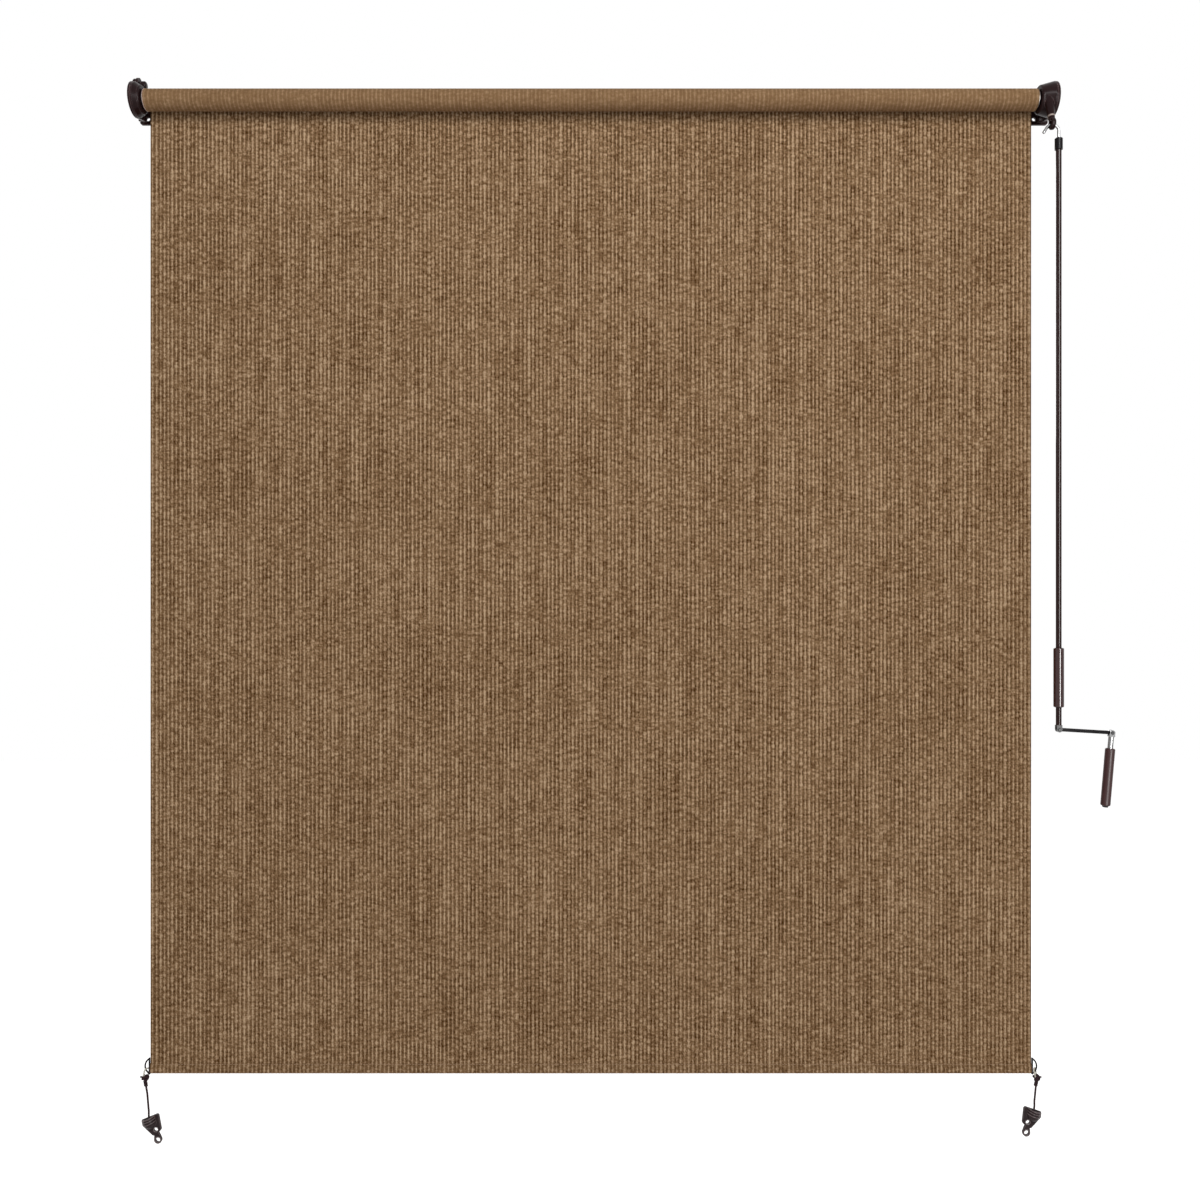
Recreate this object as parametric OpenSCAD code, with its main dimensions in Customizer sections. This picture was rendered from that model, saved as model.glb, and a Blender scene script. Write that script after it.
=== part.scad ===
// Outdoor roller shade: a knitted cloth on a tube, two wall brackets, a worm gear turned by a
// folding crank that hangs from an eyelet, and a hem rail with cords and clips for tying it down.
// The origin is on the wall, in the middle of the four wall screw holes.
// X runs along the roller, +Y points into the wall and +Z points up.

/* [Cloth] */
// Width of the cloth
cloth_w = 1829; // [1200:1:2400]
// Drop from the roller axis to the lower edge of the hem
drop = 2011; // [1600:1:2600]
// Thickness of the cloth
cloth_t = 0.9; // [0.6:0.1:1.2]
// Distance between the ribs of the knit
rib_pitch = 8.5; // [7:0.1:14]
// Height of a rib over the cloth
rib_h = 0.35; // [0.1:0.05:0.6]
// Turns of cloth that stay on the tube
roll_turns = 3.3; // [2:0.1:5]
// Height of the hem round the rail
hem_h = 16; // [14:0.5:24]

/* [Roller] */
// Outside diameter of the roller tube
tube_d = 38; // [34:0.5:44]
// Wall of the roller tube
tube_wall = 1.2; // [0.8:0.1:2]
// Length of tube that shows past the cloth at each end
tube_over = 1.5; // [0.5:0.5:6]
// Depth of the plugs inside the tube
plug_l = 42; // [32:1:60]
// Rim of a plug against the end of the tube
plug_rim = 1.2; // [0.8:0.1:2]
// Radius of the idler pin
idler_r = 6; // [4:0.25:7]

/* [Brackets] */
// Distance from the wall to the roller axis
axis_out = 62; // [56:1:80]
// Height of the middle of the wall screws over the roller axis
axis_drop = 10; // [4:1:14]
// Height of a wall plate
plate_h = 71; // [66:1:90]
// Thickness of a wall plate
plate_t = 5; // [3:0.5:7]
// Distance that a wall plate reaches in behind the cloth
plate_wing = 13.5; // [8:0.5:24]
// Vertical distance between the two wall screws of a bracket
hole_pitch = 48; // [40:1:52]
// Radius of a wall screw hole
hole_r = 4; // [2.5:0.25:4.5]
// Distance from a housing's inner face out to the wall screws
hole_in = 15.5; // [12:0.5:17]
// Radius of the cheek round the roller axis
cheek_r = 35; // [34:0.5:40]
// Thickness of a cheek
cheek_t = 4.5; // [3:0.5:6]
// Height of the domed end cover
cover_h = 7; // [5:0.5:11]
// Wall of the domed end cover
cover_wall = 1.8; // [1.2:0.1:2.5]
// Depth of the idler housing along the roller
idler_depth = 15; // [14.5:0.5:30]
// Depth of the gear housing along the roller
gear_depth = 28.5; // [28:0.5:34]
// Radius of a housing where it faces the roll
face_r = 28.5; // [28:0.5:30]
// Gap between a plug's rim and the housing
end_gap = 1.3; // [0.6:0.1:3]
// Reach of the left wall plate past its arm
idler_lip = 5; // [2:0.5:14]
// Reach of the right wall plate past its arm
gear_lip = 12; // [2:0.5:20]

/* [Worm gear] */
// Lean of the worm shaft from upright, towards the room
worm_tilt = 15; // [12:1:18]
// Teeth on the worm wheel
wheel_teeth = 10; // [10:1:11]
// Axial pitch of the worm
worm_pitch = 7.2; // [6.8:0.1:7.4]
// Pitch radius of the worm
worm_r = 7; // [6.5:0.1:7.2]
// Length of the worm's thread
worm_l = 20; // [18:1:22]
// Height of a tooth over the pitch line
tooth_up = 1.9; // [1.5:0.1:2]
// Depth of a tooth space under the pitch line
tooth_down = 2.3; // [2.1:0.1:2.5]
// Distance from the gear housing's inner face to the middle of the worm wheel
gear_in = 14.5; // [14:0.25:15]
// Width of the worm wheel
wheel_w = 8; // [6:0.5:9]
// Radius of the worm shaft
shaft_r = 4; // [3:0.25:4.25]
// Length of the shaft from the middle of the worm to the end of the snout
snout_l = 54; // [46:1:55]
// Length of the shaft from the middle of the worm to the middle of the eyelet
eyelet_l = 73; // [72:1:84]
// Radius of the hole in the eyelet
eyelet_r = 5.5; // [5:0.1:6.5]
// Thickness of the eyelet's ring
eyelet_t = 6; // [5:0.25:7]

/* [Crank] */
// Diameter of the hook's rod
hook_d = 6; // [5:0.25:6.5]
// Radius of the hook's bend, at the middle of the rod
hook_bend = 13; // [12.5:0.5:18]
// Angle by which the free leg of the hook flares
hook_flare = 33; // [20:1:45]
// Length of the free leg
hook_leg = 11; // [6:0.5:18]
// Length of the shank between the bend and the collar
shank_l = 14; // [10:0.5:30]
// Diameter of the collar over the pole
collar_d = 15.6; // [14:0.2:18]
// Length of the collar
collar_l = 23; // [18:0.5:34]
// Diameter of the pole
pole_d = 11; // [9:0.25:12]
// Wall of the pole
pole_wall = 1.2; // [0.8:0.1:1.6]
// Length of the pole between the collar and the sleeve
pole_upper = 1007; // [600:1:1400]
// Diameter of the sleeve
sleeve_d = 20.3; // [17:0.1:24]
// Length of the sleeve
sleeve_l = 120; // [80:1:160]
// Length of the pole under the sleeve
pole_lower = 36; // [24:1:60]
// Distance between the two pivots of the arm
arm_l = 107; // [80:1:140]
// Height of the arm's bar
arm_h = 7; // [5:0.25:8]
// Thickness of the arm's bar
arm_t = 4; // [3:0.25:5]
// Slope of the arm below level
arm_slope = 3.4; // [0:0.1:8]
// Diameter of the stub over the grip
stub_d = 10.7; // [9:0.1:12]
// Length of the stub from its pivot to the grip
stub_l = 32; // [26:0.5:44]
// Diameter of the grip
grip_d = 19; // [16:0.5:24]
// Length of the grip
grip_l = 116; // [80:1:140]
// Lean of the grip towards the pole
grip_lean = 4.9; // [0:0.1:8]
// Radius of the pivot pins
pin_r = 2.2; // [1.5:0.1:2.6]

/* [Hem rail] */
// Thickness of the hem rail
rail_t = 5; // [4.5:0.25:8]
// Wall of the hem rail
rail_wall = 1; // [0.6:0.1:1.2]
// Height of the tie-down loop
loop_h = 34; // [28:0.5:44]
// Reach of the tie-down loop past its stem
loop_out = 9; // [7.5:0.5:13]
// Diameter of the loop's rod
loop_d = 3.2; // [2:0.1:3.2]
// Thickness of an end cap's flange
cap_flange = 2; // [1.5:0.25:4]

/* [Tie-downs] */
// Diameter of the tie-down cords
cord_d = 4; // [4:0.25:4.5]
// Thickness of a clip's back and ring
clip_t = 5; // [4:0.25:8]
// Outside radius of a clip's ring
clip_ring = 8; // [7.5:0.1:9]
// Radius of the hole in a clip's ring
clip_hole = 4.8; // [3:0.1:5.2]
// Outside radius of a clip's pocket
pocket_r = 13; // [12:0.25:14]
// Length of a clip's pocket
pocket_l = 24; // [22:0.5:26]

/* [Hidden] */
$fn = 64;

// Clearance of a shaft or pin that turns in its bore
run_fit = 0.08;
// Clearance of a piece that is seated in another
seat_fit = 0.05;
// Clearance between pieces that move past each other
free_gap = 0.3;
// Overlap of a cut past the face that it opens
cut = 1;
// Overlap of two stretches of one piece where they run into each other
weld = 0.5;

// Roller axis and the stations along it
axis_y = -axis_out;
axis_z = -axis_drop;
tube_r = tube_d / 2;
tube_in = tube_r - tube_wall;
tube_half = cloth_w / 2 + tube_over;
face_x = tube_half + plug_rim + end_gap;
idler_cheek = face_x + idler_depth;
gear_cheek = face_x + gear_depth;
plate_in = face_x - plate_wing;
hole_x = face_x + hole_in;
plate_corner = 5;
head_room = 7.5;
step_near = 12;
step_far = 24;

// Cloth
roll_r = tube_r + seat_fit + cloth_t * roll_turns;
panel_front = axis_y + roll_r + free_gap + rib_h;
panel_mid = panel_front + cloth_t / 2;
hem_low = axis_z - drop;
hem_top = hem_low + hem_h;
rib_count = floor(cloth_w / rib_pitch);
rib_edge = (cloth_w - rib_count * rib_pitch) / 2;
rib_flank = 0.22;
rib_steps = [[0, 0], [rib_flank, 1], [1 - 2 * rib_flank, 1], [1 - rib_flank, 0]];
roll_steps = 72;

// Housings and the idler's bush and pin
bush_wall = 3;
housing_wall = 3;
housing_floor = 4.5;
drum_shoulder = 4;
drum_inset = 0.6;
drum_rim = 3;
idler_gap = 1;
pin_reach = 24;

// Knob at the top of the idler's cheek, beside its drum, and the nub outside it
knob_r = 8.5;
knob_l = 12.5;
knob_edge = 4;
knob_groove = 2.5;
knob_rim = 1.5;
knob_ring = cheek_r + knob_r;
knob_at = 63;
nub_r = 9.5;
nub_l = 9.5;
nub_edge = 4;
nub_ring = cheek_r + nub_r + free_gap;
nub_at = 68;

// Shelf and web that box in the root of the gear's arm
shelf_z = -31;
shelf_t = 2.5;
shelf_h = 24;
shelf_out = 18;

// Screws that hold a housing to its cheek
screw_r = 1.9;
screw_head_r = 3.4;
screw_head_h = 2;
screw_l = 9.5;
screw_room = 6;
screw_ring = cheek_r - 5.6;
screw_angles = [62, 0, -62];

// Worm gear
gear_x = face_x + gear_in;
starts = 2;
lead = starts * worm_pitch;
wheel_r = wheel_teeth * worm_pitch / (2 * PI);
centre_gap = wheel_r + worm_r;
lead_slope = lead / (2 * PI * worm_r);
wheel_twist = wheel_w * lead_slope / wheel_r * 180 / PI;
thread_crest = 1.2;
thread_base = 4.2;
tooth_tip = 1.2;
tooth_root = 3.4;
worm_tip = worm_r + tooth_up;
worm_root = worm_r - tooth_down;
tooth_foot = 1;
hub_r = wheel_r - tooth_down - free_gap;
hub_gap = 1;
pivot_r = 5;
hex_r = 7;
hex_l = 24;
wheel_room = 3;
thread_room = 0.6;
tunnel_room = 1;
cavity_r = wheel_r + tooth_up + wheel_room;
tunnel_r = worm_tip + thread_room;
tunnel_half = worm_l / 2 + tunnel_room;
journal_l = 6;
snout_wall = 3.4;
snout_r = shaft_r + snout_wall;
stem_wall = 1.6;
stem_flange = 3;
stem_flange_r = shaft_r + stem_flange;
stem_l = 18;

// Eyelet and hook
eyelet_flat = 1.5;
eyelet_mid = eyelet_r + eyelet_t / 2;
boss_wall = 2.6;
boss_r = shaft_r + boss_wall;
boss_start = snout_l + stem_flange + free_gap;
boss_end = eyelet_l - eyelet_mid;
boss_floor = 1.6;
shaft_end = boss_end - boss_floor - seat_fit;
cross_pin_at = (boss_start + boss_end) / 2;
cross_pin_r = 1.2;
cross_pin_bore = 0.4;
hook_r = hook_d / 2;
hook_leg_r = hook_r - seat_fit;
hook_lift = 0.6;
eyelet_at = drive_point(eyelet_l);
hook_z = eyelet_at[2] - eyelet_r + hook_r + hook_lift;
bend_z = hook_z - hook_bend;
pole_x = eyelet_at[0] + hook_bend;
crank_y = eyelet_at[1];

// Crank stations, from the top down
pole_r = pole_d / 2;
collar_top = bend_z - shank_l;
collar_low = collar_top - collar_l;
shank_part = 0.45;
shank_gap = 1;
shank_in = collar_l * shank_part;
pole_top = collar_top - shank_in - shank_gap;
sleeve_top = collar_low - pole_upper;
sleeve_low = sleeve_top - sleeve_l;
pole_low = sleeve_low - pole_lower;
bead_h = 0.5;
ear_t = 3;
ear_r = 5.4;
elbow_drop = 9;
elbow_z = pole_low - elbow_drop;
fork_plug = 20;
arm_eye_r = 5.2;
fork_gap = arm_t + 2 * free_gap;
fork_w = fork_gap + 2 * ear_t;
slot_top = arm_eye_r + 1;
stub_shoulder = arm_eye_r + 3;
rivet_head = [pin_r + 1.4, pin_r + 0.6, 1.2];
stub_at = [pole_x + arm_l * cos(arm_slope), crank_y, elbow_z - arm_l * sin(arm_slope)];
rod_r = 4;
rod_in = 6;
grip_low = stub_l + grip_l;
grip_screw_r = 6.2;
grip_screw_edge = 1;
grip_screw_h = 3;

// Hem rail and the loops on its end caps
hem_t = rail_t + 2 * (cloth_t + seat_fit);
rail_h = hem_h - 2 * (cloth_t + seat_fit);
rail_z = hem_low + hem_h / 2;
rail_back = 2;
rail_half = cloth_w / 2 - rail_back;
cap_in = cloth_w / 2 + free_gap;
cap_out = cap_in + cap_flange;
cap_plug = 26;
loop_up = 15;
loop_z = hem_low + loop_up;
loop_r = loop_d / 2;
loop_stem_r = loop_r + 0.2;
chord = loop_h / 2 - loop_r;
bow_r = (chord * chord + loop_out * loop_out) / (2 * loop_out);
bow_x = cap_out + loop_out - bow_r;
bow_half = asin(chord / bow_r);
hang_at = -36;
eye_bend = 6;
eye_lean = 12.5;
cord_r = cord_d / 2;
eye_leg_r = cord_r - seat_fit;
knot_r = 6.5;
knot_neck = 14;
neck_lean = 9.5;
neck_taper = 1;
hang_x = bow_x + bow_r * cos(hang_at);
hang_z = loop_z + bow_r * sin(hang_at);
knot_reach = 18;
knot_x = hang_x + knot_reach * sin(eye_lean);
knot_z = hang_z - knot_reach * cos(eye_lean);

// Route of each cord from the middle of its knot, across and down
left_route = [
    [0, 0], [1, -6], [2, -12], [3, -18], [4, -24], [5, -30], [5.5, -36], [6, -42], [6.5, -48],
    [7, -54], [7.5, -60], [8, -66], [8, -72], [8, -79], [8, -86]
];
right_route = [
    [0, 0], [-1, -5], [-1.5, -10], [-2, -15], [-2.5, -20], [-3, -25], [-3.5, -30], [-4, -35],
    [-4.5, -40], [-5, -45], [-5, -50], [-5, -55], [-5.5, -60], [-5.5, -65], [-5.5, -70]
];
cord_sides = 10;

// Outline of a clip from the middle of its mouth, as rounded corners: across, down, radius
clip_corners = [
    [-12.5, -16.5, 4], [15, -5, 4], [19.5, -32, 4.5], [8.5, -41, 4.5], [-10.5, -23, 4.5]
];
clip_neck = [14, -38, 4];
clip_ring_at = [17.3, -54.5];
clip_window_at = [13.1, -33];
clip_window_r = 4.2;
clip_back = 3.5;
clip_lean = 20;
pocket_at = [-3, -7.8];
pocket_wall = 2.5;
clip_entry = 10;
clip_socket = 3;
socket_r = cord_r + free_gap;
clip_post_r = socket_r + 1.6;
clip_post_l = 19;
right_clip_turn = 4;

// Colours
dark_brown = "#2b221c";
cloth_colour = "#86694f";
steel = "#b9bcc0";
brown = "#4a3226";
black = "#1c1a19";

// Point on the worm's axis at a distance along the shaft from the middle of the worm
function drive_point(s) = [
    gear_x,
    axis_y - centre_gap * cos(worm_tilt) - s * sin(worm_tilt),
    axis_z + centre_gap * sin(worm_tilt) - s * cos(worm_tilt)
];

// Point where a line from p touches the circle of radius r round c, on the given side
function tangent_point(c, r, p, side) =
    let (d = p - c, turn = atan2(d[1], d[0]) + side * acos(r / norm(d)))
    c + r * [cos(turn), sin(turn)];

// Frame of the worm wheel: X stays, Y points at the worm and Z runs along the worm's axis
module drive_frame() {
    translate([gear_x, axis_y, axis_z]) rotate([180 - worm_tilt, 0, 0]) children();
}

// Frame of the worm shaft, with Z down the shaft from the middle of the worm
module shaft_frame() {
    drive_frame() translate([0, centre_gap, 0]) children();
}

// Turns a revolved shape so that its axis lies along the roller, from x outwards
module on_axis(x) {
    translate([x, axis_y, axis_z]) rotate([0, 90, 0]) children();
}

// Extrudes a drawing made in Y and Z along X
module along_x(x, length) {
    translate([x, 0, 0]) rotate([90, 0, 90]) linear_extrude(length) children();
}

module rounded_rect(w, h, r) {
    translate([r, 0]) square([w - 2 * r, h]);
    translate([0, r]) square([w, h - 2 * r]);
    for (x = [r, w - r], y = [r, h - r]) translate([x, y]) circle(r);
}

// Slot shape with round ends, upright, centred
module stadium(w, h) {
    square([w, h - w], center = true);
    for (side = [-1, 1]) translate([0, side * (h - w) / 2]) circle(w / 2);
}

module cheek_outline() {
    centre = [axis_y, axis_z];
    wall_top = [0, plate_h / 2 - plate_corner];
    wall_low = [0, -plate_h / 2 + plate_corner];
    translate(centre) circle(cheek_r);
    polygon([
        centre, tangent_point(centre, cheek_r, wall_top, 1), wall_top, wall_low,
        tangent_point(centre, cheek_r, wall_low, -1)
    ]);
}

// Stretch of the cheek's outline between two distances from the wall
module cheek_band(far, near) {
    intersection() {
        cheek_outline();
        translate([-far, -plate_h]) square([far - near, 2 * plate_h]);
    }
}

module screw_places() {
    for (a = screw_angles) translate([0, screw_ring * cos(a), screw_ring * sin(a)]) children();
}

// Wall plate, arm and cheek in one moulding, for the right-hand end. The arm leaves room for the heads
// of the wall screws, and steps in to a cheek that lies nearer to the roll
module bracket(cheek_x, bore_r, lip) {
    arm_x = max(cheek_x, hole_x + head_room);
    plate_w = arm_x + cheek_t + lip - plate_in;
    difference() {
        union() {
            translate([plate_in, 0, -plate_h / 2]) rotate([90, 0, 0])
                linear_extrude(plate_t) rounded_rect(plate_w, plate_h, plate_corner);
            along_x(cheek_x, cheek_t)
                cheek_band(axis_out + cheek_r + cut, arm_x > cheek_x ? step_near : 0);
            if (arm_x > cheek_x) {
                along_x(arm_x, cheek_t) cheek_band(step_far, 0);
                along_x(cheek_x, arm_x + cheek_t - cheek_x) cheek_band(step_far, step_near);
            }
        }
        for (side = [-1, 1])
            translate([hole_x, cut, side * hole_pitch / 2]) rotate([90, 0, 0])
                cylinder(r = hole_r, h = plate_t + 2 * cut);
        on_axis(cheek_x - cut) cylinder(r = bore_r, h = cheek_t + 2 * cut);
        translate([cheek_x - cut, axis_y, axis_z]) screw_places() rotate([0, 90, 0]) {
            cylinder(r = screw_r + seat_fit, h = cheek_t + 2 * cut);
            translate([0, 0, cut + cheek_t - screw_head_h])
                cylinder(r = screw_head_r + seat_fit, h = screw_head_h + cut);
        }
    }
}

// Disc of radius r in the plane of a cheek, at a distance and an angle from the axis, and what it carries
module cheek_disc(cheek_x, ring, at, r) {
    translate([cheek_x, axis_y + ring * cos(at), axis_z + ring * sin(at)]) rotate([0, 90, 0]) {
        cylinder(r = r, h = cheek_t);
        children();
    }
}

// Head and groove of the idler's knob, with a nub outside its cheek
module cheek_knob(cheek_x) {
    cheek_disc(cheek_x, knob_ring, knob_at, knob_r + knob_rim) rotate_extrude() {
        translate([0, knob_edge - knob_l]) square([knob_r, knob_l - knob_edge - knob_groove]);
        translate([0, -knob_l]) square([knob_r - knob_edge, knob_l + weld]);
        translate([knob_r - knob_edge, knob_edge - knob_l]) circle(knob_edge);
    }
    cheek_disc(cheek_x, nub_ring, nub_at, nub_r + knob_rim) translate([0, 0, cheek_t - weld]) rotate_extrude() {
        square([nub_r, nub_l - nub_edge]);
        square([nub_r - nub_edge, nub_l]);
        translate([nub_r - nub_edge, nub_l - nub_edge]) circle(nub_edge);
    }
}

// Shelf under the gear's arm and the web at its near end, both standing on the wall plate
module gear_shelf() {
    near = hole_x + head_room;
    width = gear_cheek + cheek_t + gear_lip - plate_corner - near;
    translate([near, -plate_t - shelf_out, shelf_z]) {
        cube([width, shelf_out + weld, shelf_t]);
        cube([shelf_t, shelf_out + weld, shelf_h]);
    }
}

// Domed cover over the outside of a cheek
module cover(cheek_x) {
    dome_r = (cheek_r * cheek_r + cover_h * cover_h) / (2 * cover_h);
    on_axis(cheek_x + cheek_t) rotate_extrude() difference() {
        intersection() {
            translate([0, cover_h - dome_r]) circle(dome_r, $fn = 180);
            square([cheek_r, cover_h]);
        }
        intersection() {
            translate([0, cover_h - dome_r]) circle(dome_r - cover_wall, $fn = 180);
            square([cheek_r - cover_wall, cover_h]);
        }
    }
}

// Screws with their heads let into the outside of a cheek
module housing_screws(cheek_x) {
    translate([cheek_x + cheek_t, axis_y, axis_z]) screw_places() rotate([0, -90, 0]) {
        cylinder(r = screw_head_r, h = screw_head_h);
        cylinder(r = screw_r, h = screw_l);
    }
}

// Outside of a housing: a drum that widens from the roll to the cheek, with a rounded shoulder
module drum(depth) {
    rim_r = cheek_r - drum_inset;
    on_axis(face_x) rotate_extrude() {
        polygon([
            [0, 0], [face_r - drum_shoulder, 0], [face_r, drum_shoulder], [rim_r, depth - drum_rim],
            [rim_r, depth], [0, depth]
        ]);
        translate([face_r - drum_shoulder, drum_shoulder]) circle(drum_shoulder);
    }
}

module left_bracket() {
    color(dark_brown) mirror([1, 0, 0]) {
        bracket(idler_cheek, idler_r + idler_gap, idler_lip);
        cheek_knob(idler_cheek);
    }
}

module left_cover() {
    color(dark_brown) mirror([1, 0, 0]) cover(idler_cheek);
}

module idler_housing() {
    color(dark_brown) mirror([1, 0, 0]) difference() {
        drum(idler_depth);
        on_axis(face_x + housing_floor) difference() {
            cylinder(r = face_r - housing_wall, h = idler_depth);
            cylinder(r = idler_r + bush_wall + housing_wall, h = idler_depth);
        }
        on_axis(face_x - cut)
            cylinder(r = idler_r + bush_wall + seat_fit, h = idler_depth + 2 * cut);
        translate([idler_cheek, axis_y, axis_z]) screw_places() rotate([0, -90, 0])
            translate([0, 0, -cut]) cylinder(r = screw_r + seat_fit, h = screw_room + cut);
    }
}

module idler_bush() {
    color("ivory") mirror([1, 0, 0]) on_axis(face_x) difference() {
        cylinder(r = idler_r + bush_wall, h = idler_depth - seat_fit);
        translate([0, 0, -cut]) cylinder(r = idler_r + run_fit, h = idler_depth + 2 * cut);
    }
}

module idler_screws() {
    color(steel) mirror([1, 0, 0]) housing_screws(idler_cheek);
}

module right_bracket() {
    color(dark_brown) {
        bracket(gear_cheek, pivot_r + run_fit, gear_lip);
        gear_shelf();
    }
}

module right_cover() {
    color(dark_brown) cover(gear_cheek);
}

// Gear case: open towards its cheek, with a snout that carries the worm shaft
module gear_housing() {
    color(dark_brown) difference() {
        union() {
            drum(gear_depth);
            shaft_frame() translate([0, 0, tunnel_half])
                cylinder(r1 = tunnel_r, r2 = snout_r, h = snout_l - tunnel_half);
        }
        on_axis(face_x + housing_floor) cylinder(r = cavity_r, h = gear_depth);
        on_axis(face_x - cut) cylinder(r = hub_r + run_fit, h = gear_depth);
        shaft_frame() translate([0, 0, -tunnel_half]) {
            cylinder(r = tunnel_r, h = 2 * tunnel_half);
            translate([0, -tunnel_r, 0]) cube([gear_depth, 2 * tunnel_r, 2 * tunnel_half]);
        }
        shaft_frame() translate([0, 0, -tunnel_half - journal_l])
            cylinder(r = shaft_r + run_fit, h = snout_l + tunnel_half + journal_l + cut);
        shaft_frame() translate([0, 0, snout_l - stem_l])
            cylinder(r = shaft_r + stem_wall + seat_fit, h = stem_l + cut);
        translate([gear_cheek, axis_y, axis_z]) screw_places() rotate([0, -90, 0])
            translate([0, 0, -cut]) cylinder(r = screw_r + seat_fit, h = screw_room + cut);
    }
}

// Flanged bush at the mouth of the snout
module stem_bush() {
    color("burlywood") shaft_frame() translate([0, 0, snout_l - stem_l]) difference() {
        union() {
            cylinder(r = shaft_r + stem_wall, h = stem_l);
            translate([0, 0, stem_l]) cylinder(r = stem_flange_r, h = stem_flange);
        }
        translate([0, 0, -cut])
            cylinder(r = shaft_r + run_fit, h = stem_l + stem_flange + 2 * cut);
    }
}

module gear_screws() {
    color(steel) housing_screws(gear_cheek);
}

// Hanging cloth: one wall with a ridge for every rib of the knit
module cloth_panel() {
    left = -cloth_w / 2 + rib_edge;
    back = panel_front + cloth_t;
    ribs = [
        for (i = [0 : rib_count - 1], step = rib_steps)
            [left + (i + step[0]) * rib_pitch, panel_front - step[1] * rib_h]
    ];
    color(cloth_colour) translate([0, 0, hem_top + free_gap])
        linear_extrude(axis_z - hem_top - free_gap) polygon(concat(
            [[-cloth_w / 2, back], [-cloth_w / 2, panel_front]], ribs,
            [[cloth_w / 2, panel_front], [cloth_w / 2, back]]
        ));
}

module roller_tube() {
    color(steel) on_axis(-tube_half) difference() {
        cylinder(r = tube_r, h = 2 * tube_half);
        translate([0, 0, -cut]) cylinder(r = tube_in, h = 2 * (tube_half + cut));
    }
}

// Plug in the right-hand end of the tube, with a rim over the tube's end
module end_plug() {
    on_axis(tube_half - plug_l) cylinder(r = tube_in - seat_fit, h = plug_l);
    on_axis(tube_half) cylinder(r = tube_r, h = plug_rim);
}

module idler_plug() {
    color(black) mirror([1, 0, 0]) difference() {
        end_plug();
        on_axis(tube_half - pin_reach) cylinder(r = idler_r + seat_fit, h = plug_l);
    }
}

module idler_pin() {
    length = face_x + idler_depth - tube_half + pin_reach;
    color(steel) mirror([1, 0, 0]) on_axis(tube_half - pin_reach + seat_fit)
        cylinder(r = idler_r, h = length);
}

module drive_plug() {
    color(black) difference() {
        end_plug();
        on_axis(face_x - hex_l - free_gap) cylinder(r = hex_r + seat_fit, h = plug_l, $fn = 6);
    }
}

module wheel_section() {
    root = wheel_r - tooth_down;
    circle(root);
    for (i = [0 : wheel_teeth - 1]) rotate(i * 360 / wheel_teeth) polygon([
        [root - tooth_foot, -tooth_root / 2], [root, -tooth_root / 2],
        [wheel_r + tooth_up, -tooth_tip / 2], [wheel_r + tooth_up, tooth_tip / 2],
        [root, tooth_root / 2], [root - tooth_foot, tooth_root / 2]
    ]);
}

// Wheel on its hub, with a pivot in the cheek and a hexagon that drives the tube
module worm_wheel() {
    color("wheat") {
        drive_frame() rotate([90, 0, 90]) translate([0, 0, -wheel_w / 2])
            rotate(-wheel_twist / 2)
                linear_extrude(wheel_w, twist = -wheel_twist, slices = 6) wheel_section($fn = 40);
        on_axis(face_x) cylinder(r = hub_r, h = gear_depth - hub_gap);
        on_axis(gear_x) cylinder(r = pivot_r, h = gear_cheek + cheek_t - gear_x);
        on_axis(face_x - hex_l) cylinder(r = hex_r, h = hex_l, $fn = 6);
    }
}

// Turns of cloth on the tube: a spiral whose outer end lies at the back, where the panel leaves
module cloth_roll() {
    inner = tube_r + seat_fit;
    spiral = [
        for (i = [0 : roll_steps])
            (roll_r - cloth_t * (1 - i / roll_steps)) *
                [cos(i * 360 / roll_steps), sin(i * 360 / roll_steps)]
    ];
    color(cloth_colour) along_x(-cloth_w / 2, cloth_w) translate([axis_y, axis_z]) difference() {
        polygon(spiral);
        circle(inner);
    }
}

// Radius of the worm at an angle round its section: two threads with sloping flanks
function thread_radius(angle) =
    let (
        along = abs((angle + 360 + 90) % 180 - 90) * lead / 360,
        slope = (along - thread_crest / 2) / (thread_base / 2 - thread_crest / 2)
    )
    worm_tip - (worm_tip - worm_root) * min(1, max(0, slope));

module worm_shaft() {
    step = 15;
    turns = worm_l / lead;
    slices = ceil(turns * 18);
    top = -tunnel_half - journal_l + free_gap;
    color(steel) shaft_frame() difference() {
        union() {
            translate([0, 0, -worm_l / 2]) rotate(-180 * turns)
                linear_extrude(worm_l, twist = -360 * turns, slices = slices)
                    polygon([for (a = [0 : step : 359]) thread_radius(a) * [cos(a), sin(a)]]);
            translate([0, 0, top]) cylinder(r = shaft_r, h = shaft_end - top);
        }
        translate([0, 0, cross_pin_at]) rotate([0, 90, 0])
            cylinder(r = cross_pin_r + seat_fit, h = 4 * shaft_r, center = true);
    }
}

// Eyelet: a thick ring with a rounded rim, on a boss that is pinned to the shaft
module eyelet() {
    color(dark_brown) shaft_frame() difference() {
        union() {
            translate([0, 0, eyelet_l]) rotate([0, 90, 0]) rotate_extrude()
                translate([eyelet_mid, 0]) stadium(eyelet_t, 2 * eyelet_flat + eyelet_t);
            translate([0, 0, boss_start]) cylinder(r = boss_r, h = boss_end - boss_start);
        }
        translate([0, 0, boss_start - cut])
            cylinder(r = shaft_r + seat_fit, h = boss_end - boss_start + cut - boss_floor);
        translate([0, 0, cross_pin_at]) rotate([0, 90, 0])
            cylinder(r = cross_pin_r + seat_fit, h = 4 * boss_r, center = true);
        translate([0, 0, eyelet_l]) rotate([0, 90, 0])
            cylinder(r = eyelet_r, h = 4 * eyelet_t, center = true);
    }
}

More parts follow.
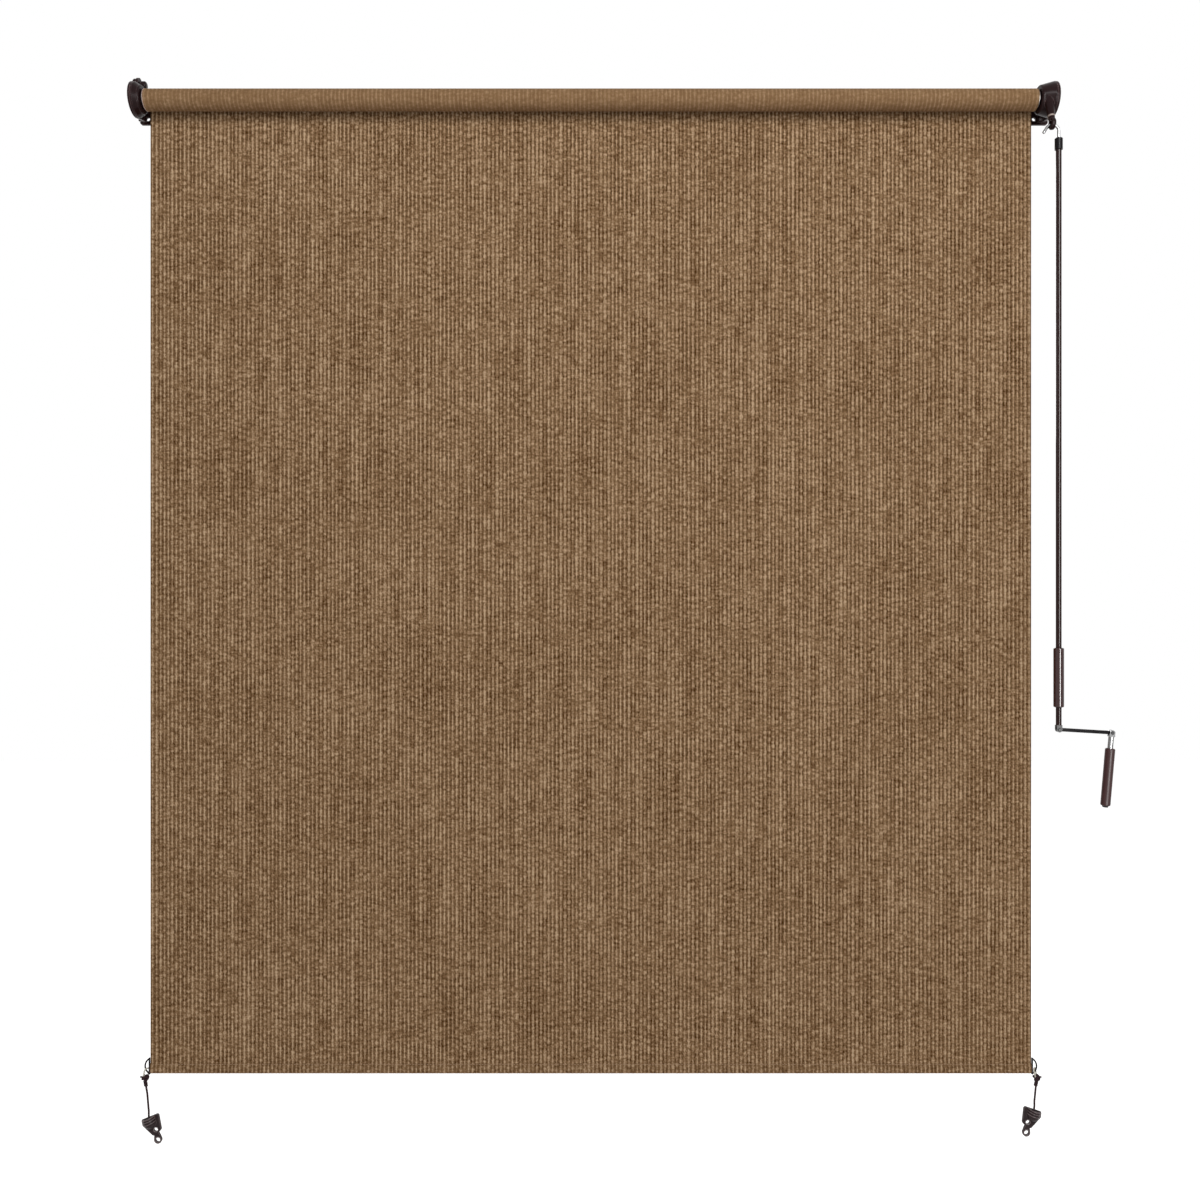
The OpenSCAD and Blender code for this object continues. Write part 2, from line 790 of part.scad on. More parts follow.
module eyelet_pin() {
    color(steel) shaft_frame() translate([0, 0, cross_pin_at]) rotate([0, 90, 0])
        difference() {
            cylinder(r = cross_pin_r, h = 2 * boss_r, center = true);
            cylinder(r = cross_pin_bore, h = 4 * boss_r, center = true);
        }
}

// Hook of round rod: shank, bend over the eyelet and a flared free leg
module crank_hook() {
    bend = 180 - hook_flare;
    color(steel) translate([pole_x - hook_bend, crank_y, bend_z]) rotate([90, 0, 0]) {
        rotate_extrude(angle = bend) translate([hook_bend, 0]) circle(hook_r);
        translate([hook_bend, weld, 0]) rotate([90, 0, 0])
            cylinder(r = hook_leg_r, h = weld + shank_l + shank_in);
        rotate(bend) translate([hook_bend, -weld, 0]) {
            rotate([-90, 0, 0]) cylinder(r = hook_leg_r, h = weld + hook_leg);
            translate([0, weld + hook_leg, 0]) sphere(hook_r);
        }
    }
}

// Collar that grips the hook's shank and the top of the pole
module hook_collar() {
    edge = 1.5;
    color(black) translate([pole_x, crank_y, collar_low]) difference() {
        rotate_extrude() polygon([
            [0, 0], [collar_d / 2, 0], [collar_d / 2, collar_l - edge],
            [collar_d / 2 - edge, collar_l], [0, collar_l]
        ]);
        translate([0, 0, -cut])
            cylinder(r = pole_r + seat_fit, h = pole_top - collar_low + cut);
        cylinder(r = hook_r + seat_fit, h = collar_l + cut);
    }
}

module crank_pole() {
    color(dark_brown) translate([pole_x, crank_y, 0]) difference() {
        union() {
            translate([0, 0, pole_low]) cylinder(r = pole_r, h = pole_top - pole_low);
            for (z = [sleeve_top + 2 * bead_h, sleeve_low - 2 * bead_h]) translate([0, 0, z])
                rotate_extrude() translate([pole_r, 0]) circle(bead_h);
        }
        translate([0, 0, pole_low - cut])
            cylinder(r = pole_r - pole_wall, h = pole_top - pole_low + 2 * cut);
    }
}

module pole_sleeve() {
    edge = 2.5;
    r = sleeve_d / 2;
    color(brown) translate([pole_x, crank_y, sleeve_low]) difference() {
        rotate_extrude() {
            translate([0, edge]) square([r, sleeve_l - 2 * edge]);
            square([r - edge, sleeve_l]);
            for (z = [edge, sleeve_l - edge]) translate([r - edge, z]) circle(edge);
        }
        translate([0, 0, -cut]) cylinder(r = pole_r + run_fit, h = sleeve_l + 2 * cut);
    }
}

// Fork with two ears, drawn with its pivot at the origin and its shank up
module fork(shank_r, shank_top, shoulder) {
    difference() {
        union() {
            translate([0, 0, shoulder]) cylinder(r = shank_r, h = shank_top - shoulder);
            translate([-ear_r, -fork_w / 2, 0]) cube([2 * ear_r, fork_w, shoulder]);
            rotate([90, 0, 0]) cylinder(r = ear_r, h = fork_w, center = true);
        }
        translate([-2 * ear_r, -fork_gap / 2, -2 * ear_r])
            cube([4 * ear_r, fork_gap, 2 * ear_r + slot_top]);
        rotate([90, 0, 0]) cylinder(r = pin_r + seat_fit, h = fork_w + 2 * cut, center = true);
    }
}

module elbow_fork() {
    color(black) translate([pole_x, crank_y, elbow_z])
        fork(pole_r - pole_wall - seat_fit, pole_low - elbow_z + fork_plug, pole_low - elbow_z);
}

// Rivet through a fork, with a low head at each end
module rivet() {
    rotate([90, 0, 0]) {
        cylinder(r = pin_r, h = fork_w, center = true);
        for (side = [0, 1]) mirror([0, 0, side]) translate([0, 0, fork_w / 2])
            cylinder(r1 = rivet_head[0], r2 = rivet_head[1], h = rivet_head[2]);
    }
}

module elbow_pin() {
    color(steel) translate([pole_x, crank_y, elbow_z]) rivet();
}

module crank_arm() {
    color(black) translate([pole_x, crank_y, elbow_z]) rotate([0, arm_slope, 0]) difference() {
        union() {
            translate([0, -arm_t / 2, -arm_h / 2]) cube([arm_l, arm_t, arm_h]);
            for (x = [0, arm_l]) translate([x, 0, 0]) rotate([90, 0, 0])
                cylinder(r = arm_eye_r, h = arm_t, center = true);
        }
        for (x = [0, arm_l]) translate([x, 0, 0]) rotate([90, 0, 0])
            cylinder(r = pin_r + run_fit, h = arm_t + 2 * cut, center = true);
    }
}

// Frame of the handle: its pivot at the origin and Z up along the grip
module handle_frame() {
    translate(stub_at) rotate([0, grip_lean, 0]) children();
}

// Stub that turns on the arm, and the rod through the grip
module handle_stub() {
    color(black) handle_frame() difference() {
        union() {
            rotate([0, 180, 0]) fork(stub_d / 2, stub_l - 2 * free_gap, stub_shoulder);
            translate([0, 0, -grip_low - free_gap]) cylinder(r = rod_r, h = grip_l + rod_in);
        }
        translate([0, 0, -grip_low - cut]) cylinder(r = screw_r + seat_fit, h = screw_room + 2 * cut);
    }
}

module handle_pin() {
    color(steel) handle_frame() rivet();
}

// Screw and washer in one that keep the grip on its rod
module grip_screw() {
    color(steel) handle_frame() translate([0, 0, -grip_low - free_gap]) {
        translate([0, 0, -grip_screw_h])
            cylinder(r1 = grip_screw_r - grip_screw_edge, r2 = grip_screw_r, h = grip_screw_h);
        cylinder(r = screw_r, h = screw_room);
    }
}

module handle_grip() {
    edge = 2.5;
    r = grip_d / 2;
    color(brown) handle_frame() translate([0, 0, -grip_low]) difference() {
        rotate_extrude() {
            translate([0, edge]) square([r, grip_l - 2 * edge]);
            square([r - edge, grip_l]);
            for (z = [edge, grip_l - edge]) translate([r - edge, z]) circle(edge);
        }
        translate([0, 0, -cut]) cylinder(r = rod_r + run_fit, h = grip_l + 2 * cut);
    }
}

module hem_rail() {
    color(steel) along_x(-rail_half, 2 * rail_half) translate([panel_mid, rail_z]) difference() {
        stadium(rail_t, rail_h);
        stadium(rail_t - 2 * rail_wall, rail_h - 2 * rail_wall);
    }
}

module cloth_hem() {
    color(cloth_colour) along_x(-cloth_w / 2, cloth_w) translate([panel_mid, rail_z]) difference() {
        stadium(hem_t, hem_h);
        stadium(rail_t + 2 * seat_fit, rail_h + 2 * seat_fit);
    }
}

// Right-hand end cap: a plug in the rail, a flange and a loop of round rod
module end_cap() {
    along_x(rail_half - cap_plug, cap_plug + cap_out - rail_half) translate([panel_mid, rail_z])
        stadium(rail_t - 2 * (rail_wall + seat_fit), rail_h - 2 * (rail_wall + seat_fit));
    along_x(cap_in, cap_flange) translate([panel_mid, rail_z]) stadium(hem_t, hem_h);
    translate([cap_out, panel_mid, loop_z]) cylinder(r = loop_stem_r, h = loop_h, center = true);
    translate([bow_x, panel_mid, loop_z]) rotate([90, 0, 0]) rotate(-bow_half)
        rotate_extrude(angle = 2 * bow_half) translate([bow_r, 0]) circle(loop_r);
}

module left_end_cap() {
    color(black) mirror([1, 0, 0]) end_cap();
}

module right_end_cap() {
    color(black) end_cap();
}

// Eye of cord over a loop, the knot that closes it and the knot's neck down the cord, on the given side
module knot(side) {
    translate([side * hang_x, panel_mid, hang_z]) rotate([0, -side * eye_lean, 0]) {
        rotate([90, 0, 90]) rotate_extrude(angle = 180) translate([eye_bend, 0]) circle(cord_r);
        for (leg = [-1, 1]) translate([0, leg * eye_bend, -knot_reach])
            cylinder(r = eye_leg_r, h = knot_reach + weld);
    }
    translate([side * knot_x, panel_mid, knot_z]) {
        sphere(knot_r);
        rotate([0, side * neck_lean, 0]) translate([0, 0, -knot_neck])
            cylinder(r1 = cord_r + neck_taper, r2 = knot_r - neck_taper, h = knot_neck);
    }
}

module left_knot() {
    color(black) knot(-1);
}

module right_knot() {
    color(black) knot(1);
}

// Tube of round section along a route in X and Z: a ring at every point, square to the route
module cord(start, route) {
    points = [for (p = route) start + [p[0], 0, p[1]]];
    last = len(points) - 1;
    rings = [
        for (i = [0 : last])
            let (
                along = points[min(i + 1, last)] - points[max(i - 1, 0)],
                side = [along[2], 0, -along[0]] / norm(along)
            )
            for (k = [0 : cord_sides - 1])
                let (a = k * 360 / cord_sides)
                points[i] + cord_r * (cos(a) * side + sin(a) * [0, 1, 0])
    ];
    walls = [
        for (i = [0 : last - 1], k = [0 : cord_sides - 1])
            let (near = i * cord_sides, far = near + cord_sides, next = (k + 1) % cord_sides)
            [near + k, far + k, far + next, near + next]
    ];
    polyhedron(rings, concat(
        [[for (k = [0 : cord_sides - 1]) k]],
        walls,
        [[for (k = [cord_sides - 1 : -1 : 0]) last * cord_sides + k]]
    ));
}

module left_cord() {
    color(black) cord([-knot_x, panel_mid, knot_z], left_route);
}

module right_cord() {
    color(black) cord([knot_x, panel_mid, knot_z], right_route);
}

// Back of a clip with its ring, flat
module clip_outline() {
    hull() for (c = clip_corners) translate([c[0], c[1]]) circle(c[2], $fn = 32);
    hull() {
        translate([clip_neck[0], clip_neck[1]]) circle(clip_neck[2], $fn = 32);
        translate(clip_ring_at) circle(clip_ring, $fn = 32);
    }
}

// Half of a round-ended pocket in front of a clip's back, sunk into it by a distance
module pocket(r, length, sunk) {
    translate([pocket_at[0], clip_back + sunk, pocket_at[1]]) rotate([0, clip_lean, 180])
        rotate_extrude(angle = 180) {
            translate([0, r - length]) square([r, length - r + cut - sunk]);
            intersection() {
                translate([0, r - length]) circle(r);
                translate([0, -length]) square([r, length]);
            }
        }
}

// Clip, drawn for the left-hand side with the middle of its mouth at the origin: a back with a ring
// under it, and a pocket in front with a post that holds the end of the cord
module clip() {
    difference() {
        union() {
            difference() {
                union() {
                    translate([0, clip_back + clip_t, 0]) rotate([90, 0, 0])
                        linear_extrude(clip_t) clip_outline();
                    pocket(pocket_r, pocket_l, weld);
                }
                pocket(pocket_r - pocket_wall, pocket_l - pocket_wall, 0);
            }
            translate([0, 0, -clip_entry - clip_post_l]) cylinder(r = clip_post_r, h = clip_post_l);
        }
        translate([0, 0, -clip_entry - clip_socket - free_gap])
            cylinder(r = socket_r, h = clip_socket + free_gap + cut);
        for (hole = [concat(clip_ring_at, clip_hole), concat(clip_window_at, clip_window_r)])
            translate([hole[0], clip_back + clip_t + cut, hole[1]]) rotate([90, 0, 0])
                cylinder(r = hole[2], h = clip_t + 2 * cut);
    }
}

module left_clip() {
    end = left_route[len(left_route) - 1];
    color(black) translate([-knot_x + end[0], panel_mid, knot_z + end[1]])
        translate([0, 0, clip_entry + clip_socket]) clip();
}

module right_clip() {
    end = right_route[len(right_route) - 1];
    color(black) translate([knot_x + end[0], panel_mid, knot_z + end[1]])
        rotate([0, -right_clip_turn, 0]) mirror([1, 0, 0])
            translate([0, 0, clip_entry + clip_socket]) clip();
}

left_bracket();
left_cover();
idler_housing();
idler_bush();
idler_screws();
right_bracket();
right_cover();
gear_housing();
stem_bush();
gear_screws();
cloth_panel();
roller_tube();
idler_plug();
idler_pin();
drive_plug();
worm_wheel();
cloth_roll();
worm_shaft();
eyelet();
eyelet_pin();
crank_hook();
hook_collar();
crank_pole();
elbow_fork();
elbow_pin();
pole_sleeve();
crank_arm();
handle_stub();
handle_pin();
grip_screw();
handle_grip();
hem_rail();
cloth_hem();
left_end_cap();
right_end_cap();
left_knot();
left_cord();
left_clip();
right_knot();
right_cord();
right_clip();
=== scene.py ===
"""Outdoor roller shade: the looks of a knitted cloth on a roller, its brackets, crank and tie-downs."""

import math

import bmesh
import bpy
import numpy as np
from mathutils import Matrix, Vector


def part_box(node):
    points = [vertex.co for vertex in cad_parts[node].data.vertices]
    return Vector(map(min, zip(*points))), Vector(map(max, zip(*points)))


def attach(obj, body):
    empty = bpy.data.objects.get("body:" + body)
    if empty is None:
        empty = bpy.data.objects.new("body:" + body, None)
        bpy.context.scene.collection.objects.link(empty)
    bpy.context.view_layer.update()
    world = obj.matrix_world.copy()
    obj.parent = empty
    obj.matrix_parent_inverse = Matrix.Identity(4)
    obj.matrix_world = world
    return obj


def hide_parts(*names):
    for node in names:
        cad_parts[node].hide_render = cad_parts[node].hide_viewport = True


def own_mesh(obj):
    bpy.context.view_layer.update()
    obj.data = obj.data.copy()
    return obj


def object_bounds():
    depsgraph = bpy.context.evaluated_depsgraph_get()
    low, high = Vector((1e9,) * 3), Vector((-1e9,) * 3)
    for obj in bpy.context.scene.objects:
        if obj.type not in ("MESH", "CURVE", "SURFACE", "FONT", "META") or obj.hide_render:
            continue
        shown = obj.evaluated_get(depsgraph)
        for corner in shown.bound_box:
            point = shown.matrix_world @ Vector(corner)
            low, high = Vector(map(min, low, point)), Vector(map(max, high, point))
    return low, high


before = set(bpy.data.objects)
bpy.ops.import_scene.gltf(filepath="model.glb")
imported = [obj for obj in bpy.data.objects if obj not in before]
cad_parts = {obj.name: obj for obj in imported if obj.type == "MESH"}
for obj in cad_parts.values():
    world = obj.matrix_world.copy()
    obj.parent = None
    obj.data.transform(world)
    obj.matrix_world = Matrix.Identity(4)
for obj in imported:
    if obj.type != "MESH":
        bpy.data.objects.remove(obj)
CAD_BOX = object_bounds()

bl_info = {
    "name": "Outdoor Roller Shade",
    "version": (1, 0, 0),
    "blender": (4, 5, 0),
    "location": "View3D > Sidebar > Shade",
    "description": "Dresses the packed roller shade with cloth, fittings, cords and a studio",
    "category": "Object",
}

TURN = 2 * math.pi
ROUTE_STEPS = 8
ROUTE_UNIT = 0.001
LEFT_ROUTE = (
    (0, 0), (1, -6), (2, -12), (3, -18), (4, -24), (5, -30), (5.5, -36), (6, -42), (6.5, -48),
    (7, -54), (7.5, -60), (8, -66), (8, -72), (8, -79), (8, -86),
)
RIGHT_ROUTE = (
    (0, 0), (-1, -5), (-1.5, -10), (-2, -15), (-2.5, -20), (-3, -25), (-3.5, -30), (-4, -35),
    (-4.5, -40), (-5, -45), (-5, -50), (-5, -55), (-5.5, -60), (-5.5, -65), (-5.5, -70),
)
EYE_LEAN = math.radians(12.5)
EYE_REACH = 0.018
EYE_BEND = 0.006
EYE_TWIST = math.radians(35)
EYE_RADIUS = 0.0014
CORD_RADIUS = 0.002
WELD = 2e-6
CAP_SHRINK = (0.85, 0.5, 0.0)
CAP_LIFT = (0.225, 0.4, 0.5)


# Meshes

def grid_faces(rows, columns, close_rows, close_columns):
    """Corner numbers of every cell of a grid, as one array of four columns, wrapped where it closes."""
    i = np.arange(rows if close_rows else rows - 1)
    j = np.arange(columns if close_columns else columns - 1)
    i, j = np.meshgrid(i, j, indexing="ij")
    below = (i + 1) % rows
    beside = (j + 1) % columns
    corners = (i * columns + j, i * columns + beside, below * columns + beside, below * columns + j)
    return np.stack([c.ravel() for c in corners], axis=1)


def join_grids(grids):
    """Points, faces and UVs of several grids in one set.
    Each grid is (points, close_rows, close_columns, uv)."""
    points, faces, uvs = [], [], []
    start = 0
    for grid, close_rows, close_columns, uv in grids:
        rows, columns = grid.shape[:2]
        points.append(grid.reshape(-1, 3))
        faces.append(grid_faces(rows, columns, close_rows, close_columns) + start)
        uvs.append(np.zeros((rows * columns, 2)) if uv is None else uv.reshape(-1, 2))
        start += rows * columns
    return np.concatenate(points), np.concatenate(faces), np.concatenate(uvs)


def make_piece(name, grids, material):
    """A mesh object at the origin from grids of points, with doubles merged and faces turned outwards."""
    points, faces, uvs = join_grids(grids)
    mesh = bpy.data.meshes.new(name)
    mesh.from_pydata(points, [], faces)
    layer = mesh.uv_layers.new(name="UVMap")
    layer.data.foreach_set("uv", uvs[faces.ravel()].astype(np.float32).ravel())
    work = bmesh.new()
    work.from_mesh(mesh)
    bmesh.ops.remove_doubles(work, verts=work.verts, dist=WELD)
    bmesh.ops.dissolve_degenerate(work, edges=work.edges, dist=WELD / 2)
    bmesh.ops.recalc_face_normals(work, faces=work.faces)
    work.to_mesh(mesh)
    work.free()
    mesh.polygons.foreach_set("use_smooth", np.ones(len(mesh.polygons), dtype=bool))
    mesh.materials.append(material)
    piece = bpy.data.objects.new(name, mesh)
    bpy.context.scene.collection.objects.link(piece)
    return piece


def smooth_path(points, steps):
    """Points along a Catmull-Rom curve through the given ones, steps to a span."""
    p = np.asarray(points, float)
    p = np.concatenate([2 * p[:1] - p[1:2], p, 2 * p[-1:] - p[-2:-1]])
    t = np.linspace(0, 1, steps, endpoint=False)[:, None]
    a, b, c, d = p[:-3, None], p[1:-2, None], p[2:-1, None], p[3:, None]
    span = 0.5 * (2 * b + (c - a) * t + (2 * a - 5 * b + 4 * c - d) * t**2 + (3 * b - a - 3 * c + d) * t**3)
    return np.concatenate([span.reshape(-1, 3), p[-2:-1]])


def path_frames(path, closed=False):
    """Unit tangents and two unit normals along a path. The normals keep clear of one fixed direction."""
    ahead = np.roll(path, -1, axis=0) - np.roll(path, 1, axis=0)
    if not closed:
        ahead[0] = path[1] - path[0]
        ahead[-1] = path[-1] - path[-2]
    tangent = ahead / np.linalg.norm(ahead, axis=1, keepdims=True)
    spread = np.abs(tangent).mean(axis=0)
    fixed = np.eye(3)[np.argmin(spread)]
    first = np.cross(tangent, fixed)
    first /= np.linalg.norm(first, axis=1, keepdims=True)
    return tangent, first, np.cross(tangent, first)


def tube(path, radius, sides=16, closed=False):
    """Grid of a round tube: path point + radius * (cos a * first normal + sin a * second normal).
    radius is one number or an array of (points, sides). Rounded ends close an open tube."""
    path = np.asarray(path, float)
    tangent, first, second = path_frames(path, closed)
    a = np.linspace(0, TURN, sides, endpoint=False)
    r = np.broadcast_to(np.asarray(radius, float), (len(path), sides))
    ring = np.cos(a)[None, :, None] * first[:, None] + np.sin(a)[None, :, None] * second[:, None]
    grid = path[:, None] + r[..., None] * ring
    length = np.concatenate([[0], np.cumsum(np.linalg.norm(np.diff(path, axis=0), axis=1))])
    if not closed:
        caps = []
        shrink = np.array(CAP_SHRINK)
        for end, out in ((0, -1), (-1, 1)):
            lift = np.array(CAP_LIFT) * r[end].mean() * out
            cap = path[end] + shrink[:, None, None] * (grid[end] - path[end])[None]
            caps.append(cap + lift[:, None, None] * tangent[end])
        grid = np.concatenate([caps[0][::-1], grid, caps[1]])
        length = np.concatenate([[length[0]] * len(shrink), length, [length[-1]] * len(shrink)])
    uv = np.stack(np.broadcast_arrays(a[None, :] / TURN, length[:, None]), axis=-1)
    return grid, closed, True, uv


def put_on(material, *nodes):
    """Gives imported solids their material."""
    for node in nodes:
        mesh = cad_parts[node].data
        mesh.materials.clear()
        mesh.materials.append(material)


# Shader nodes

def new_group(name, inputs, outputs):
    """An empty shader node group with named sockets.
    Inputs are (name, type, default), and outputs are (name, type)."""
    group = bpy.data.node_groups.new(name, "ShaderNodeTree")
    for label, kind, default in inputs:
        socket = group.interface.new_socket(label, in_out="INPUT", socket_type=kind)
        if default is not None:
            socket.default_value = default
    for label, kind in outputs:
        group.interface.new_socket(label, in_out="OUTPUT", socket_type=kind)
    return group


class Net:
    """Short calls for placing and joining the nodes of one tree."""

    def __init__(self, tree):
        self.tree = tree

    def add(self, kind, values=(), **settings):
        """A node of the kind, its settings, and values for its inputs by name or number."""
        node = self.tree.nodes.new(kind)
        for key, value in settings.items():
            setattr(node, key, value)
        for socket, value in dict(values).items():
            self.feed(node.inputs[socket], value)
        return node

    def feed(self, socket, value):
        """Joins an output to a socket, or sets the socket's own value."""
        if isinstance(value, bpy.types.NodeSocket):
            self.tree.links.new(value, socket)
        else:
            socket.default_value = value

    def math(self, operation, *values, clamp=False):
        """The result of one sum."""
        node = self.add("ShaderNodeMath", dict(enumerate(values)), operation=operation, use_clamp=clamp)
        return node.outputs[0]

    def noise(self, vector, scale, detail=2.0):
        """Noise from 0 to 1 with so many cells to a unit."""
        node = self.add("ShaderNodeTexNoise", {"Vector": vector, "Scale": scale, "Detail": detail})
        return node.outputs["Fac"]

    def combine(self, x, y, z):
        """A vector from three values."""
        return self.add("ShaderNodeCombineXYZ", {"X": x, "Y": y, "Z": z}).outputs[0]

    def mix(self, factor, one, two):
        """A colour between two."""
        node = self.add("ShaderNodeMix", data_type="RGBA")
        for socket, value in zip((node.inputs[0], node.inputs[6], node.inputs[7]), (factor, one, two)):
            self.feed(socket, value)
        return node.outputs[2]


def rgba(colour):
    """The colour with full cover."""
    return (*colour, 1.0)


def scaled(colour, factor):
    """The colour, lighter or darker by a factor."""
    return [factor * c for c in colour]


# Knit, in columns across and courses along
# Mean of the rib term, which paints shade between the columns and highlight on their crests
RIB_SHADING_MEAN = 0.375
RIB_LEAN = 0.12
# Share of that painted rib shade and highlight in the tone
RIB_SHADING_SHARE = 0.9
LOOP_DRIFT = 6.0
LOOP_SHARE = 0.04
FIELD_SKEW = 0.37
COLUMN_STEP = 0.73
COLUMN_SHIFT = 5.3
DYE_STEP = 0.07
STITCHES_A_COURSE = 2.2
DYE_SHARE = 0.45
STITCH_SHARE = 1.05
YARN_SHARE = 0.95
CLOUD_SHARE = 0.12


def knit_group():
    """Knitted tape: columns of stitches, each with its own dye and broken into stitches and single yarns.
    Colour goes from Dark between the columns over Mid to Light on the stitches, and Height follows it.
    Dark is painted shade between the columns and Light is painted highlight on stitches in the light: the rib
    term lays both across each column, and the noise terms vary the tone at random and paint highlight where
    they reach Light."""
    group = new_group("Knit", (
        ("Vector", "NodeSocketVector", None),
        ("Pitch", "NodeSocketFloat", 0.0083),
        ("Course", "NodeSocketFloat", 0.0156),
        ("Contrast", "NodeSocketFloat", 1.0),
        ("Dark", "NodeSocketColor", (0.1, 0.06, 0.03, 1)),
        ("Mid", "NodeSocketColor", (0.2, 0.12, 0.07, 1)),
        ("Light", "NodeSocketColor", (0.4, 0.27, 0.17, 1)),
    ), (("Color", "NodeSocketColor"), ("Height", "NodeSocketFloat")))
    net = Net(group)
    given = net.add("NodeGroupInput").outputs
    place = net.add("ShaderNodeSeparateXYZ", {0: given["Vector"]}).outputs
    column = net.math("DIVIDE", place["X"], given["Pitch"])
    course = net.math("DIVIDE", place["Y"], given["Course"])

    def centred(vector, scale=1.0, detail=1.0):
        """Noise about zero."""
        return net.math("SUBTRACT", net.noise(vector, scale, detail), 0.5)

    def field(columns, courses, seed):
        """Noise that changes by so many cells over one column and one course."""
        across = net.math("MULTIPLY", column, columns)
        along = net.math("MULTIPLY_ADD", course, courses, net.math("MULTIPLY", column, FIELD_SKEW))
        return centred(net.combine(across, along, seed))

    lean = net.math("MULTIPLY", field(1.0, 0.9, 2.0), RIB_LEAN)
    # Rib term: painted shade between the columns and painted highlight on their crests
    wave = net.math("COSINE", net.math("MULTIPLY", net.math("ADD", column, lean), TURN))
    rib = net.math("POWER", net.math("MULTIPLY_ADD", wave, -0.5, 0.5), 2.0)
    clear = net.math("MULTIPLY", net.noise(given["Vector"], 22.0, 1.0), RIB_SHADING_SHARE)
    tone = net.math("MULTIPLY", net.math("SUBTRACT", rib, RIB_SHADING_MEAN), clear)
    drift = net.math("ADD", course, net.math("MULTIPLY", field(1.0, 0.2, 7.0), LOOP_DRIFT))
    loop = net.math("SINE", net.math("MULTIPLY", drift, TURN))
    own = net.math("MULTIPLY", net.math("FLOOR", column), COLUMN_STEP)
    dye = centred(net.combine(own, net.math("MULTIPLY", course, DYE_STEP), 3.0))
    along = net.math("MULTIPLY_ADD", course, STITCHES_A_COURSE, net.math("MULTIPLY", own, COLUMN_SHIFT))
    stitch = centred(net.combine(own, along, 5.0))
    yarn = field(3.0, 3.8, 9.0)
    cloud = centred(given["Vector"], 4.0, 3.0)
    shares = (
        (loop, LOOP_SHARE),
        (dye, DYE_SHARE),
        (stitch, STITCH_SHARE),
        (yarn, YARN_SHARE),
        (cloud, CLOUD_SHARE),
    )
    for value, share in shares:
        tone = net.math("ADD", tone, net.math("MULTIPLY", value, share))
    tone = net.math("MULTIPLY_ADD", tone, given["Contrast"], 0.5, clamp=True)
    low = net.math("MULTIPLY", tone, 2.0, clamp=True)
    high = net.math("MULTIPLY_ADD", tone, 2.0, -1.0, clamp=True)
    out = net.add("NodeGroupOutput")
    net.feed(out.inputs["Color"], net.mix(high, net.mix(low, given["Dark"], given["Mid"]), given["Light"]))
    net.feed(out.inputs["Height"], tone)
    return group


GRAIN_CELLS = 1400.0
SHRINK_CELLS = 60.0
EDGE_ALIGNED = 0.993
EDGE_GAIN = 7.0
BEVEL_SAMPLES = 6


def moulding_group():
    """Moulded plastic: a fine eroded grain, slow waves where the melt shrank, and edges painted paler, which
    are found where the normal of a small bevel leaves the normal of the face. The pale edges and the mottle
    towards the pale colour are partly scuffs and partly painted highlights."""
    group = new_group("Moulding", (
        ("Vector", "NodeSocketVector", None),
        ("Base", "NodeSocketColor", (0.03, 0.02, 0.015, 1)),
        ("Scuff and highlight", "NodeSocketColor", (0.09, 0.07, 0.06, 1)),
        ("Gloss", "NodeSocketFloat", 0.3),
        ("Edge", "NodeSocketFloat", 0.003),
        ("Scuff highlight mottle", "NodeSocketFloat", 0.06),
    ), (("Color", "NodeSocketColor"), ("Roughness", "NodeSocketFloat"), ("Height", "NodeSocketFloat")))
    net = Net(group)
    given = net.add("NodeGroupInput").outputs
    fine = net.noise(given["Vector"], GRAIN_CELLS)
    slow = net.noise(given["Vector"], SHRINK_CELLS)
    bevel = net.add("ShaderNodeBevel", {"Radius": given["Edge"]}, samples=BEVEL_SAMPLES).outputs[0]
    face = net.add("ShaderNodeNewGeometry").outputs["Normal"]
    aligned = net.add("ShaderNodeVectorMath", {0: bevel, 1: face}, operation="DOT_PRODUCT").outputs["Value"]
    # Paler edges: partly scuffs, partly painted highlights
    edge_scuff_highlight_mask = net.math("MULTIPLY", net.math("SUBTRACT", EDGE_ALIGNED, aligned), EDGE_GAIN, clamp=True)
    edge_scuff_highlight_mask = net.math("MULTIPLY", edge_scuff_highlight_mask, net.math("MULTIPLY_ADD", slow, 1.6, -0.2, clamp=True))
    # Base mottled towards the pale colour: partly scuffs, partly painted highlights
    tint = net.mix(net.math("MULTIPLY", slow, given["Scuff highlight mottle"]), given["Base"], given["Scuff and highlight"])
    out = net.add("NodeGroupOutput")
    net.feed(out.inputs["Color"], net.mix(edge_scuff_highlight_mask, tint, given["Scuff and highlight"]))
    uneven = net.math("MULTIPLY_ADD", net.math("ADD", slow, fine), 0.6, 0.4)
    net.feed(out.inputs["Roughness"], net.math("MULTIPLY", given["Gloss"], uneven, clamp=True))
    net.feed(out.inputs["Height"], net.math("ADD", net.math("MULTIPLY", fine, 0.25), slow))
    return group


